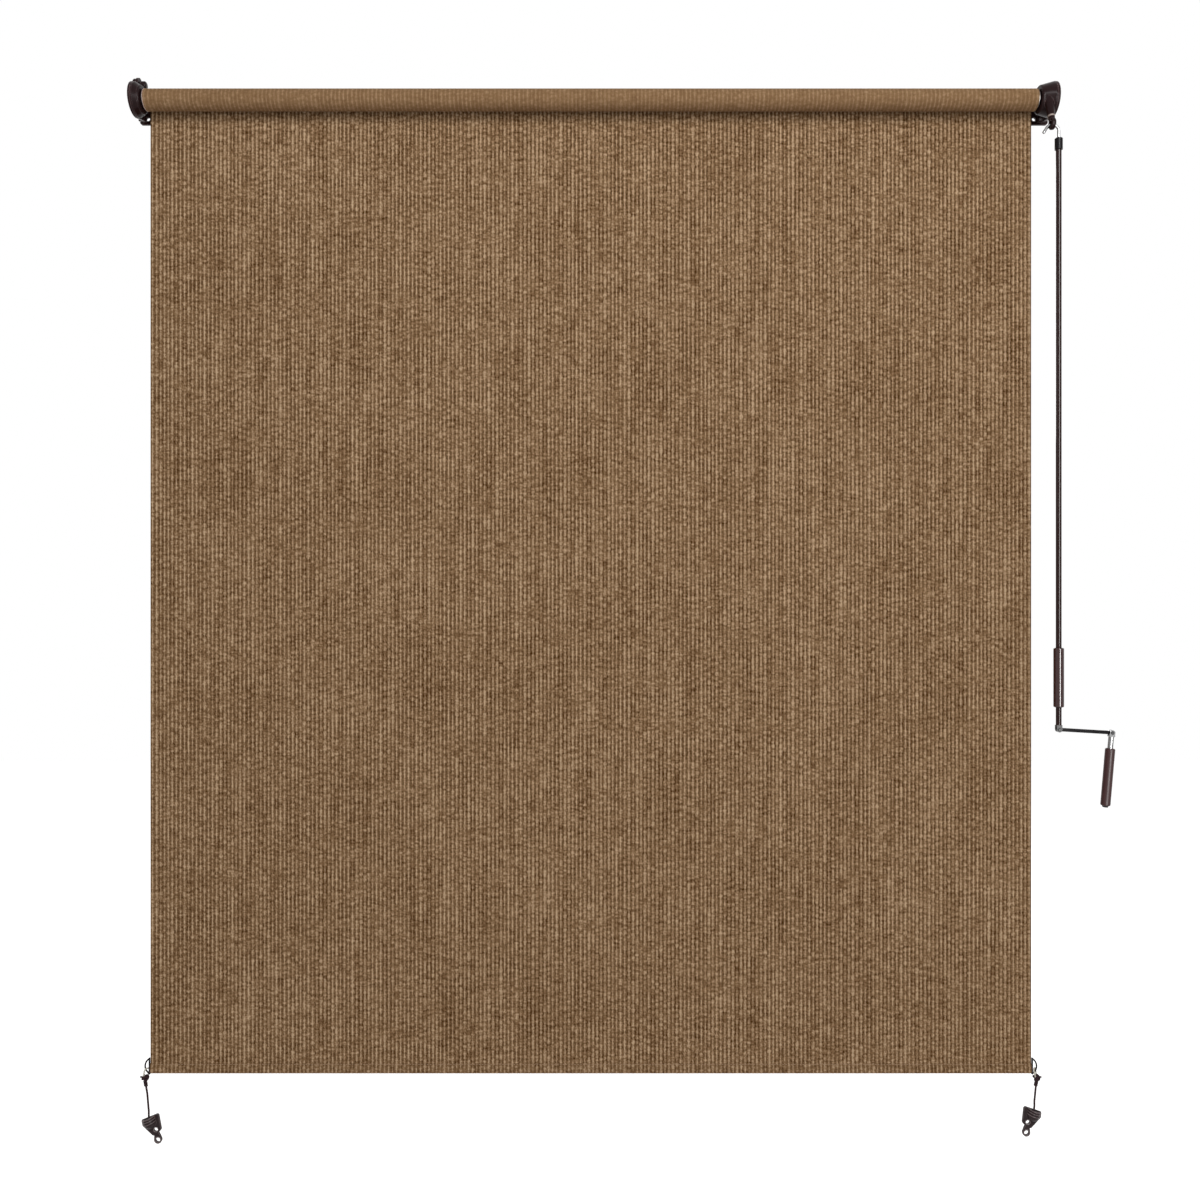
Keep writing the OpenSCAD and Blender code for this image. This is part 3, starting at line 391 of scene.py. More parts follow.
def drawn_metal_group():
    """Drawn or plated metal: hairlines along one axis over a cloudy gloss."""
    group = new_group("Drawn metal", (
        ("Vector", "NodeSocketVector", None),
        ("Base", "NodeSocketColor", (0.6, 0.6, 0.6, 1)),
        ("Dull", "NodeSocketColor", (0.35, 0.34, 0.33, 1)),
        ("Gloss", "NodeSocketFloat", 0.2),
    ), (("Color", "NodeSocketColor"), ("Roughness", "NodeSocketFloat"), ("Height", "NodeSocketFloat")))
    net = Net(group)
    given = net.add("NodeGroupInput").outputs
    drawn = {0: given["Vector"], 1: (900.0, 900.0, 14.0)}
    stretch = net.add("ShaderNodeVectorMath", drawn, operation="MULTIPLY")
    hair = net.noise(stretch.outputs[0], 1.0, 3.0)
    cloud = net.noise(given["Vector"], 90.0, 3.0)
    out = net.add("NodeGroupOutput")
    net.feed(out.inputs["Color"], net.mix(net.math("MULTIPLY", cloud, 0.5), given["Base"], given["Dull"]))
    uneven = net.math("MULTIPLY", net.math("SUBTRACT", net.math("ADD", hair, cloud), 1.0), 0.12)
    net.feed(out.inputs["Roughness"], net.math("ADD", given["Gloss"], uneven, clamp=True))
    net.feed(out.inputs["Height"], hair)
    return group


BUILDERS = {"Knit": knit_group, "Moulding": moulding_group, "Drawn metal": drawn_metal_group}


def shared_group(name):
    """The shared node group of a name, built at its first use."""
    return bpy.data.node_groups.get(name) or BUILDERS[name]()


def new_material(name):
    """A material with its Principled shader and the net that builds it."""
    material = bpy.data.materials.new(name)
    material.use_nodes = True
    net = Net(material.node_tree)
    return material, net, material.node_tree.nodes["Principled BSDF"]


def bump(net, height, strength, distance, rounding=0.0):
    """Normal from a height, over edges that look rounded by a radius."""
    node = net.add("ShaderNodeBump", {"Height": height, "Strength": strength, "Distance": distance})
    if rounding:
        bevel = net.add("ShaderNodeBevel", {"Radius": rounding}, samples=BEVEL_SAMPLES)
        net.feed(node.inputs["Normal"], bevel.outputs[0])
    return node.outputs["Normal"]


def grouped_material(name, group, values, strength, vector="Object", distance=0.0004, rounding=0.0, **fixed):
    """A material whose colour, roughness and normal come from one shared group, and the rest from fixed
    sockets of its shader."""
    material, net, shader = new_material(name)
    effect = net.add("ShaderNodeGroup", node_tree=shared_group(group))
    net.feed(effect.inputs["Vector"], net.add("ShaderNodeTexCoord").outputs[vector])
    for socket, value in values.items():
        net.feed(effect.inputs[socket], value)
    net.feed(shader.inputs["Base Color"], effect.outputs["Color"])
    if "Roughness" in effect.outputs:
        net.feed(shader.inputs["Roughness"], effect.outputs["Roughness"])
    net.feed(shader.inputs["Normal"], bump(net, effect.outputs["Height"], strength, distance, rounding))
    for socket, value in fixed.items():
        shader.inputs[socket.replace("_", " ")].default_value = value
    return material


def plastic(name, base, scuff_and_highlight, gloss, level, strength=0.12, scuff_highlight_mottle=0.06, edge=0.003, rounding=0.0008):
    """Moulded plastic of a base colour and a paler colour, for scuffs and painted highlights on its edges,
    with a roughness and a specular level.
    """
    values = {"Base": rgba(base), "Scuff and highlight": rgba(scuff_and_highlight), "Gloss": gloss, "Scuff highlight mottle": scuff_highlight_mottle, "Edge": edge}
    return grouped_material(name, "Moulding", values, strength=strength, rounding=rounding,
                            Specular_IOR_Level=level)


def rod_plastic(name, base, scuff_and_highlight, gloss, level, strength):
    """Plastic or paint on a thin rod: paler at its sharp ends alone, as scuffs and painted highlights, and
    smooth round its side.
    """
    return plastic(name, base, scuff_and_highlight, gloss, level, strength, edge=0.0004, rounding=0.0)


def metal(name, base, dull, gloss, metallic=1.0):
    """Drawn metal of a bright and a dull colour, with a roughness."""
    values = {"Base": rgba(base), "Dull": rgba(dull), "Gloss": gloss}
    return grouped_material(name, "Drawn metal", values, strength=0.05, Metallic=metallic)


def cord_material(name, colour, pale):
    """Braided cord: two sets of strands that cross, worked out from the cord's own UV map."""
    material, net, shader = new_material(name)
    place = net.add("ShaderNodeSeparateXYZ", {0: net.add("ShaderNodeTexCoord").outputs["UV"]}).outputs
    turns = net.math("MULTIPLY", place["X"], TURN * 4)
    along = net.math("MULTIPLY", place["Y"], TURN * 220)
    strands = [net.math("SINE", net.math(way, turns, along)) for way in ("ADD", "SUBTRACT")]
    braid = net.math("MULTIPLY_ADD", net.math("MULTIPLY", *strands), 0.5, 0.5)
    net.feed(shader.inputs["Base Color"], net.mix(braid, rgba(colour), rgba(pale)))
    net.feed(shader.inputs["Normal"], bump(net, braid, 0.5, 0.0005))
    shader.inputs["Roughness"].default_value = 0.75
    shader.inputs["Specular IOR Level"].default_value = 0.05
    return material


# Settings

def size(name, text, default):
    """A length that a user may change."""
    return bpy.props.FloatProperty(name=name, description=text, default=default, unit="LENGTH", precision=4)


def colour(name, text, default):
    """A colour that a user may change."""
    return bpy.props.FloatVectorProperty(name=name, description=text, default=default, subtype="COLOR",
                                         size=3, min=0, max=1)


class ShadeCloth(bpy.types.PropertyGroup):
    """Sizes and colours of the cloth."""

    rib_pitch: size("Rib pitch", "Distance between two columns of stitches", 0.0083)
    rib_height: size("Rib height", "Height of a column over the ground of the knit", 0.0006)
    thickness: size("Thickness", "Thickness of the knit between its ribs", 0.0008)
    course: size("Course", "Length of one bunch of stitches", 0.0156)
    stitch: size("Stitch", "Length of one stitch of the hem's seam", 0.006)
    # Dark is painted shade between the columns, and Light is painted highlight on the stitches
    dark: colour("Dark", "Colour between the columns", (0.060, 0.023, 0.0052))
    mid: colour("Mid", "Main colour of the knit", (0.222, 0.129, 0.063))
    light: colour("Light", "Colour of the stitches in the light", (0.533, 0.375, 0.235))
    thread: colour("Thread", "Sewing thread of the hem", (0.30, 0.20, 0.125))
    edging: colour("Edging", "Pale yarn at the cut edge on the roller", (0.72, 0.52, 0.45))


class ShadeFittings(bpy.types.PropertyGroup):
    """Colours of the brackets, the crank and the tie-downs."""

    bracket: colour("Brackets", "Dark brown moulding of brackets and gear", (0.014, 0.0052, 0.0056))
    # Paler edges of the bracket moulding: scuffs and painted highlights
    bracket_scuffs_highlights: colour("Scuff and highlight brackets", "Scuffed and highlighted edges of the moulding", (0.17, 0.11, 0.11))
    grip: colour("Grips", "Brown plastic of sleeve and grip", (0.040, 0.011, 0.011))
    # Paler ends of sleeve and grip: scuffs and painted highlights
    grip_scuffs_highlights: colour("Scuff and highlight grips", "Scuffed and highlighted places of sleeve and grip", (0.09, 0.040, 0.034))
    pole: colour("Pole", "Brown paint of the pole", (0.022, 0.008, 0.007))
    black: colour("Black", "Black plastic of arm, collar, loops and plugs", (0.006, 0.005, 0.006))
    clip: colour("Clips", "Dark plastic of the clips", (0.014, 0.008, 0.009))
    # Paler edges of the clips: scuffs and painted highlights
    clip_scuffs_highlights: colour("Scuff and highlight clips", "Scuffed and highlighted edges of the clips", (0.16, 0.12, 0.12))
    cord: colour("Cord", "Dark strands of the cords", (0.020, 0.010, 0.012))
    eye: colour("Eye", "Pale cord of the eyes over the loops", (0.74, 0.70, 0.60))
    steel: colour("Steel", "Plated steel of hook, rivets and stub", (0.24, 0.24, 0.24))
    bush: colour("Bushes", "Cream plastic of bushes and wheel", (0.36, 0.29, 0.25))


class ShadeStage(bpy.types.PropertyGroup):
    """Camera and light of the studio."""

    lens: bpy.props.FloatProperty(name="Lens", description="Focal length of the camera", default=31.855,
                                  unit="CAMERA")
    camera_x: size("Camera across", "Place of the camera along the roller", 0.019)
    camera_z: size("Camera height", "Height of the camera in the shared frame", -1.038)
    distance: size("Distance", "Distance from the camera to the cloth", 2.205)
    floor_gap: size("Floor gap", "Room between the lowest clip and the floor", 0.12)
    floor_reach: size("Floor reach", "Half the width of the floor", 6.0)


GROUPS = {"shade_cloth": ShadeCloth, "shade_fittings": ShadeFittings, "shade_stage": ShadeStage}


# Stage

LAMPS = (
    # name, place, width, height, watts, whether it shows in reflections alone
    ("Key softbox", (0.2, -3.2, 1.5), 1.5, 0.9, 36, False),
    ("Front strip", (1.15, -3.4, 0.3), 0.45, 3.2, 47, False),
    ("Left softbox", (-3.4, -2.4, 0.2), 0.6, 1.6, 12, False),
    ("Back softbox", (0.3, 4.0, 0.6), 2.0, 1.5, 60, False),
    ("Right gloss strip", (1.5, -3.2, -0.6), 0.8, 3.4, 300, True),
)
AMBIENT = 0.36
FLOOR_GLOW = 0.7
SEEN_RAYS = ("Is Camera Ray", "Is Glossy Ray", "Is Transmission Ray")


def aim_lamp(name, place, target, width, height, watts, gloss):
    """Flat lamp at place that faces target and stays out of the picture.
    A lamp for gloss gives no light to dull surfaces."""
    lamp = bpy.data.lights.new(name, "AREA")
    lamp.shape = "RECTANGLE"
    lamp.size = width
    lamp.size_y = height
    lamp.energy = watts
    item = bpy.data.objects.new(name, lamp)
    bpy.context.scene.collection.objects.link(item)
    item.location = place
    way = np.asarray(target, float) - np.asarray(place, float)
    tilt = math.acos(-way[2] / np.linalg.norm(way))
    item.rotation_euler = (tilt, 0, math.atan2(way[1], way[0]) - math.pi / 2)
    item.visible_camera = False
    item.visible_diffuse = not gloss


def seen_directly(net):
    """One for the rays that see the studio white, and zero for the rest."""
    path = net.add("ShaderNodeLightPath").outputs
    seen = path[SEEN_RAYS[0]]
    for ray in SEEN_RAYS[1:]:
        seen = net.math("MAXIMUM", seen, path[ray])
    return seen


class SHADE_OT_stage(bpy.types.Operator):
    """Camera, lamps, white world and pale floor"""

    bl_idname = "shade.stage"
    bl_label = "Stage"

    def execute(self, context):
        stage = context.scene.shade_stage
        scene = context.scene
        scene.view_settings.view_transform = "Standard"
        cloth_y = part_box("cloth_panel")[0][1]
        camera = bpy.data.cameras.new("Camera")
        camera.sensor_width = 36
        camera.lens = stage.lens
        item = bpy.data.objects.new("Camera", camera)
        scene.collection.objects.link(item)
        item.location = (stage.camera_x, cloth_y - stage.distance, stage.camera_z)
        item.rotation_euler = (math.pi / 2, 0, 0)
        scene.camera = item
        middle = (0, cloth_y, stage.camera_z)
        for name, place, width, height, watts, gloss in LAMPS:
            aim_lamp(name, place, middle, width, height, watts, gloss)
        scene.world = self.world()
        self.floor(stage)
        return {"FINISHED"}

    def world(self):
        """White to the camera and in reflections, and a soft level of light for the rest."""
        world = bpy.data.worlds.new("Studio")
        world.use_nodes = True
        net = Net(world.node_tree)
        background = world.node_tree.nodes["Background"]
        seen = seen_directly(net)
        background.inputs["Color"].default_value = (1, 1, 1, 1)
        net.feed(background.inputs["Strength"], net.math("MULTIPLY_ADD", seen, 1 - AMBIENT, AMBIENT))
        return world

    def floor(self, stage):
        """Pale floor, which is white to the camera where no shadow falls."""
        reach = stage.floor_reach
        low = CAD_BOX[0][2] - stage.floor_gap
        corners = [(x * reach, y * reach, low) for x, y in ((-1, -1), (1, -1), (1, 1), (-1, 1))]
        mesh = bpy.data.meshes.new("Floor")
        mesh.from_pydata(corners, [], [(0, 1, 2, 3)])
        item = bpy.data.objects.new("Floor", mesh)
        bpy.context.scene.collection.objects.link(item)
        material, net, shader = new_material("Floor")
        shader.inputs["Base Color"].default_value = (0.8, 0.8, 0.8, 1)
        shader.inputs["Roughness"].default_value = 0.9
        glow = net.math("MULTIPLY", seen_directly(net), FLOOR_GLOW)
        net.feed(shader.inputs["Emission Strength"], glow)
        shader.inputs["Emission Color"].default_value = (1, 1, 1, 1)
        mesh.materials.append(material)
        return item


# Tie-downs

CORD_SIDES = 24
BRAID_WAVES = 110
BRAID_RELIEF = 0.04
KNOT_LIFT = 0.004
KNOT_TURN = 0.0036
KNOT_RADIUS = 0.0025
WHIP_DROP = 0.002
WHIP_TURN = 0.0026
WHIP_LENGTH = 0.012
WHIP_TURNS = 4
WHIP_RADIUS = 0.0014
TAIL = ((0, 0, 0), (3, -3, 2), (6, -4, 3), (8.5, -4, 3))
TAIL_RADIUS = 0.0016


def cord_start(side, sign, route):
    """Point where a cord leaves its knot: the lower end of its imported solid, less the route's last step."""
    low, high = (np.array(corner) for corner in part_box(f"{side}_cord"))
    end_x = high[0] - CORD_RADIUS if sign < 0 else low[0] + CORD_RADIUS
    across, down = route[-1]
    return np.array([end_x - across * ROUTE_UNIT, (low[1] + high[1]) / 2, low[2] - down * ROUTE_UNIT])


def cord_route(start, route):
    """Points of a cord in metres: its start plus the route's steps across and down."""
    steps = np.array([(x, 0, z) for x, z in route], float) * ROUTE_UNIT
    return smooth_path(np.asarray(start) + steps, ROUTE_STEPS)


def braid_radius(path):
    """Radius of a braided cord at angle a and length s, where k is its waves:
    cord radius * (1 + relief * cos(4a + ks) * cos(4a - ks))."""
    length = np.concatenate([[0], np.cumsum(np.linalg.norm(np.diff(path, axis=0), axis=1))])
    a = np.linspace(0, TURN, CORD_SIDES, endpoint=False)[None, :]
    s = length[:, None] * TURN * BRAID_WAVES
    return CORD_RADIUS * (1 + BRAID_RELIEF * np.cos(4 * a + s) * np.cos(4 * a - s))


def unit(vector):
    """The vector at a length of one."""
    return np.asarray(vector, float) / np.linalg.norm(vector)


def trefoil(centre, up, across, radius, height):
    """Trefoil about the up direction: radius * (1 + cos 3t / 2) round by 2t, and height * sin 3t up."""
    t = np.linspace(0, TURN, 120, endpoint=False)[:, None]
    side = np.cross(up, across)
    reach = radius * (1 + 0.5 * np.cos(3 * t))
    return centre + reach * (np.cos(2 * t) * across + np.sin(2 * t) * side) + height * np.sin(3 * t) * up


def whipping(start, down, radius, length, turns):
    """Helix of some turns down a cord: radius * (cos, sin) of the turn about the down direction."""
    t = np.linspace(0, 1, 20 * turns + 1)[:, None]
    across = unit(np.cross(down, (0, 1, 0)))
    side = np.cross(down, across)
    a = TURN * turns * t
    return start + length * t * down + radius * (np.cos(a) * across + np.sin(a) * side)


def eye_curve(hang, knot, up, sideways, bend):
    """Open eye: half a circle about hang over the loop, and two legs from it that close in to the knot."""
    t = np.linspace(0, math.pi, 25)[:, None]
    arch = hang + bend * (np.cos(t) * sideways + np.sin(t) * up)
    near = knot + 0.35 * bend * sideways
    far = knot - 0.35 * bend * sideways
    waist = 0.5 * (hang - knot)
    legs = [near, near + waist + 0.45 * bend * sideways, far + waist - 0.45 * bend * sideways, far]
    return smooth_path(np.concatenate([legs[:2], arch, legs[2:]]), 3)


# Clip, in millimetres from the middle of its mouth, as its solid is drawn
CLIP_LEAN = 20
CLIP_BACK = 3.5
CLIP_MOUTH = 13
CLIP_RIDGES = (-0.8, -5.5, -11)
POCKET_AT = (-3, -7.8)
POCKET_RADIUS = 13
WINDOW_RIM = ((13.1, -33), 4.9)
RING_RIM = ((17.3, -54.5), 6.4)
RIGHT_CLIP_TURN = 4
RIDGE_RADIUS = 0.0007


def clip_ridges(cord_end, sign):
    """Grids of the raised lines of a clip: arcs round the front of its pocket, at heights h on the pocket's
    leaning axis, (-r cos a cos L - h sin L, -r sin a, -r cos a sin L + h cos L), and rims round its window
    and its ring."""
    lean = math.radians(CLIP_LEAN)
    a = np.linspace(0.06, math.pi - 0.06, 25)
    lines = []
    for h in CLIP_RIDGES:
        x = POCKET_AT[0] - POCKET_RADIUS * np.cos(a) * math.cos(lean) - h * math.sin(lean)
        y = CLIP_BACK - POCKET_RADIUS * np.sin(a)
        z = POCKET_AT[1] - POCKET_RADIUS * np.cos(a) * math.sin(lean) + h * math.cos(lean)
        lines.append((np.stack([x, y, z], axis=-1), False))
    t = np.linspace(0, TURN, 32, endpoint=False)
    for place, radius in (WINDOW_RIM, RING_RIM):
        rim = [place[0] + radius * np.cos(t), 0 * t + CLIP_BACK, place[1] + radius * np.sin(t)]
        lines.append((np.stack(rim, axis=-1), True))
    turn = math.radians(RIGHT_CLIP_TURN) if sign > 0 else 0.0
    grids = []
    for line, closed in lines:
        x = -sign * line[:, 0]
        z = line[:, 2] + CLIP_MOUTH
        x, z = x * math.cos(turn) - z * math.sin(turn), x * math.sin(turn) + z * math.cos(turn)
        points = cord_end + ROUTE_UNIT * np.stack([x, line[:, 1], z], axis=-1)
        grids.append(tube(points, RIDGE_RADIUS, 10, closed=closed))
    return grids


class SHADE_OT_tie_downs(bpy.types.Operator):
    """Cords with their knots and eyes, and the moulded clips that they carry"""

    bl_idname = "shade.tie_downs"
    bl_label = "Tie-downs"

    def execute(self, context):
        fittings = context.scene.shade_fittings
        cord = cord_material("Braided cord", fittings.cord, scaled(fittings.cord, 2.5))
        pale = cord_material("Pale cord", scaled(fittings.eye, 0.6), fittings.eye)
        # The clips' paler colour marks their edges: scuffs and painted highlights
        scuff_and_highlight = fittings.clip_scuffs_highlights
        clip = plastic("Clip plastic", fittings.clip, scuff_and_highlight, gloss=0.3, level=0.08, scuff_highlight_mottle=0.2)
        # The raised lines on the clips are painted wholly in that pale colour, as painted highlights along
        # their rims
        pale_scuffs_and_highlights = plastic("Scuffed and highlighted clip plastic", scuff_and_highlight, scuff_and_highlight, gloss=0.3, level=0.2)
        for side, route, sign in (("left", LEFT_ROUTE, -1), ("right", RIGHT_ROUTE, 1)):
            put_on(clip, f"{side}_clip")
            self.tie_down(side, route, sign, cord, pale, pale_scuffs_and_highlights)
        return {"FINISHED"}

    def tie_down(self, side, route, sign, cord, pale, pale_scuffs_and_highlights):
        """One cord from its knot to its clip, the knot with its whipping and tail, the eye over the loop and
        the clip's ridges."""
        start = cord_start(side, sign, route)
        path = cord_route(start, route)
        braid = tube(path, braid_radius(path), CORD_SIDES)
        string = make_piece(f"{side}_tie_cord", [braid], cord)
        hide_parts(f"{side}_cord")
        up = np.array([-sign * math.sin(EYE_LEAN), 0, math.cos(EYE_LEAN)])
        along = np.array([math.cos(EYE_LEAN), 0, sign * math.sin(EYE_LEAN)])
        down = unit(path[1] - path[0])
        knot = start + KNOT_LIFT * up
        tail_steps = np.array([(sign * x, y, z) for x, y, z in TAIL])
        tail = smooth_path(knot + tail_steps * ROUTE_UNIT, ROUTE_STEPS)
        wraps = whipping(start + WHIP_DROP * down, down, WHIP_TURN, WHIP_LENGTH, WHIP_TURNS)
        tied = make_piece(f"{side}_tied_knot", [
            tube(trefoil(knot, up, along, KNOT_TURN, KNOT_TURN), KNOT_RADIUS, closed=True),
            tube(wraps, WHIP_RADIUS, 12),
            tube(tail, TAIL_RADIUS, 12),
        ], cord)
        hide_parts(f"{side}_knot")
        sideways = math.cos(EYE_TWIST) * np.array([0, 1, 0]) + math.sin(EYE_TWIST) * along
        curve = eye_curve(start + EYE_REACH * up, start, up, sideways, EYE_BEND)
        eye = make_piece(f"{side}_knot_eye", [tube(curve, EYE_RADIUS)], pale)
        ridges = make_piece(f"{side}_clip_ridges", clip_ridges(path[-1], sign), pale_scuffs_and_highlights)
        for piece, slot in ((string, "cord"), (tied, "cord"), (eye, "cord"), (ridges, "clip_plastic")):
            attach(piece, "rail")


# Cloth

RIB_STEPS = 4
# share, length and phase of the waves that the ribs wander in
RIB_WAVES = ((1.0, 0.071, 0.0), (0.7, 0.113, 1.3), (0.5, 0.047, 2.1))
WANDER_REACH = 0.05
STILL_EDGE = 0.03
PANEL_ROWS = 42
TURN_IN = 0.001
ROLL_SIDES = 96
ROLL_FIT = 0.00005
ROLL_RIBS = 0.25
END_RINGS = 10
RING_STEP = 0.0003
EDGING_RADIUS = 0.0007
HEM_RISE = 0.005
HEM_RIBS = 0.4
SEAM_AT = 0.75
SEAM_LIFT = 0.3
THREAD_RADIUS = 0.0006
STITCH_START = 0.6
STITCH_FILL = 0.72


def rib_columns(cloth, low, high):
    """Places across the cloth, some to each rib, the regular rib coordinate there, and the ribs' height.
    The ribs wander, x = u + reach * pitch * sum of share * sin(2 pi u / length + phase), still at the edges.
    Their height is a cosine with flattened crests."""
    ribs = round((high - low) / cloth.rib_pitch)
    count = np.arange(ribs * RIB_STEPS + 1)
    u = low + (high - low) * count / count[-1]
    wander = sum(share * np.sin(TURN * u / length + phase) for share, length, phase in RIB_WAVES)
    still = np.clip(np.minimum(u - low, high - u) / STILL_EDGE, 0, 1)
    x = u + WANDER_REACH * cloth.rib_pitch * wander * still
    wave = 0.5 - 0.5 * np.cos(TURN * count / RIB_STEPS)
    return x, count / RIB_STEPS * cloth.rib_pitch, wave ** 0.7 * cloth.rib_height


def cloth_material(name, cloth, contrast, strength, shade=1.0):
    """Knit on the piece's UV map, which is in metres across and along the cloth. The shade factor scales its
    colours: over one it paints a lit copy of the knit, and under one a shaded copy.
    """
    values = {"Pitch": cloth.rib_pitch, "Course": cloth.course, "Contrast": contrast}
    for tone in ("dark", "mid", "light"):
        values[tone.capitalize()] = rgba(scaled(getattr(cloth, tone), shade))
    return grouped_material(name, "Knit", values, vector="UV", strength=strength, distance=0.0012,
                            Roughness=0.9, Specular_IOR_Level=0.02, Sheen_Weight=0.02)


class SHADE_OT_cloth(bpy.types.Operator):
    """Hanging panel, turns on the roller, edging and hem"""

    bl_idname = "shade.cloth"
    bl_label = "Cloth"

    def execute(self, context):
        cloth = context.scene.shade_cloth
        panel = self.panel(cloth)
        self.roll(cloth)
        hem, stitching = self.hem(cloth)
        return {"FINISHED"}

    def panel(self, cloth):
        """Ribbed sheet: y = middle - (half thickness + rib height) in front, and half of that to the back,
        drawn in to an edge above and below. Each rib's height sways along its length,
        by 0.75 + 0.25 sin(37z + 190x) sin(23z - 71x), and is lower near the roll."""
        low, high = (np.array(corner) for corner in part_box("cloth_panel"))
        x, u, lift = rib_columns(cloth, low[0], high[0])
        rows = np.linspace(low[2] + TURN_IN, high[2] - TURN_IN, PANEL_ROWS)
        z = np.concatenate([[low[2]] * 2, rows, [high[2]] * 2])[:, None]
        full = np.ones_like(z)
        full[[0, -1]] = 0
        sway = 0.75 + 0.25 * np.sin(37 * z + 190 * x[None, :]) * np.sin(23 * z - 71 * x[None, :])
        middle = high[1] - cloth.thickness / 2
        calm = np.clip((high[2] - z) / 0.08, 0.25, 1)
        out = full * (cloth.thickness / 2 + lift[None, :] * sway * calm)
        across = np.broadcast_to(x[None, :], out.shape)
        up = np.broadcast_to(z, out.shape)
        front = np.stack([across, middle - out, up], axis=-1)
        back = np.stack([across, middle + 0.5 * out, up], axis=-1)
        grid = np.concatenate([front, back[:, ::-1]], axis=1)
        columns = np.broadcast_to(u[None, :], out.shape)
        uv = np.stack([np.concatenate([columns, columns[:, ::-1]], axis=1), grid[..., 2]], axis=-1)
        material = cloth_material("Knitted cloth", cloth, contrast=1.0, strength=0.5)
        piece = make_piece("hanging_cloth", [(grid, False, True, uv)], material)
        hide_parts("cloth_panel")
        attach(piece, "frame")
        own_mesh(piece)
        return piece

    def roll(self, cloth):
        """Turns on the tube: a radius with low ribs from end to end, closed by rings in to the tube that
        step with the turns, and a thin edging round the end at the idler."""
        low, high = (np.array(corner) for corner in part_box("cloth_roll"))
        axis = (low + high) / 2
        outer = (high[2] - low[2]) / 2
        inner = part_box("roller_tube")[1][2] - axis[2] + ROLL_FIT
        x, u, lift = rib_columns(cloth, low[0], high[0])
        a = np.linspace(0, TURN, ROLL_SIDES, endpoint=False)[:, None]
        radius = outer + ROLL_RIBS * (lift[None, :] - cloth.rib_height) + 0 * a
        steps = RING_STEP * (np.arange(END_RINGS) % 2)
        ring = inner + (outer - inner) * np.linspace(1, 0, END_RINGS) - steps
        ends = [np.broadcast_to(r[None, :], (a.size, END_RINGS)) for r in (ring[::-1], ring)]
        r = np.concatenate([ends[0], radius, ends[1]], axis=1)
        across = np.concatenate([np.full(END_RINGS, low[0]), x, np.full(END_RINGS, high[0])])
        columns = np.concatenate([np.full(END_RINGS, u[0]), u, np.full(END_RINGS, u[-1])])
        across, columns = (np.broadcast_to(v[None, :], r.shape) for v in (across, columns))
        grid = np.stack([across, axis[1] + r * np.cos(a), axis[2] + r * np.sin(a)], axis=-1)
        uv = np.stack([columns, np.broadcast_to(a * outer, r.shape)], axis=-1)
        # The rolled cloth is a lit copy of the knit, painted a tenth lighter
        material = cloth_material("Rolled cloth", cloth, contrast=0.3, strength=0.12, shade=1.1)
        piece = make_piece("rolled_cloth", [(grid, True, False, uv)], material)
        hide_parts("cloth_roll")
        reach = outer - EDGING_RADIUS / 2
        circle = np.concatenate([
            0 * a + low[0] + EDGING_RADIUS, axis[1] + reach * np.cos(a), axis[2] + reach * np.sin(a),
        ], axis=1)
        edging = cord_material("Edging yarn", scaled(cloth.edging, 0.7), cloth.edging)
        edge = make_piece("roll_edging", [tube(circle, EDGING_RADIUS, 10, closed=True)], edging)
        for item in (piece, edge):
            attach(item, "roller")

    def hem(self, cloth):
        """Hem round the rail: a teardrop that is round below and closes on to the panel above, ribbed like
        it, y = tip + (half - tip) * (1 + cos(pi s)) / 2 from the rail up. A row of stitches runs near its
        top."""
        low, high = (np.array(corner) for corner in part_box("cloth_hem"))
        x, u, lift = rib_columns(cloth, low[0], high[0])
        half = (high[1] - low[1]) / 2
        middle = (high[1] + low[1]) / 2
        tip = cloth.thickness / 2 + cloth.rib_height
        shoulder = high[2] - half
        rise = half + HEM_RISE
        s = np.linspace(0, 1, 14)
        flank = tip + (half - tip) * (0.5 + 0.5 * np.cos(math.pi * s))
        t = np.linspace(0, math.pi, 24)
        y = np.concatenate([flank[::-1], half * np.cos(t), -flank])
        climb = shoulder + rise * s
        z = np.concatenate([climb[::-1], low[2] + half * (1 - np.sin(t)), climb])
        sideways = np.cos(np.arctan2(z - (low[2] + half), y))
        downwards = np.minimum(z - low[2] - half, 0) / half
        out = np.stack([sideways, downwards], axis=-1)
        spread = HEM_RIBS * lift[None, :, None] * out[:, None]
        grid = np.stack([
            np.broadcast_to(x[None, :], (y.size, x.size)),
            middle + y[:, None] + spread[..., 0],
            z[:, None] + spread[..., 1],
        ], axis=-1)
        arc = np.concatenate([[0], np.cumsum(np.hypot(np.diff(y), np.diff(z)))])
        uv = np.stack(np.broadcast_arrays(u[None, :], arc[:, None]), axis=-1)
        # The hem is a shaded copy of the knit, painted a twentieth darker
        material = cloth_material("Hem cloth", cloth, contrast=0.85, strength=0.4, shade=0.95)
        piece = make_piece("hem_of_cloth", [(grid, True, False, uv)], material)
        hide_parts("cloth_hem")
        seam_z = shoulder + SEAM_AT * rise
        seam_y = tip + (half - tip) * (0.5 + 0.5 * math.cos(math.pi * SEAM_AT))
        depth = seam_y + SEAM_LIFT * cloth.rib_height
        stitching = self.stitches(cloth, low[0], high[0], middle, depth, seam_z)
        for item in (piece, stitching):
            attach(item, "rail")
        return piece, stitching

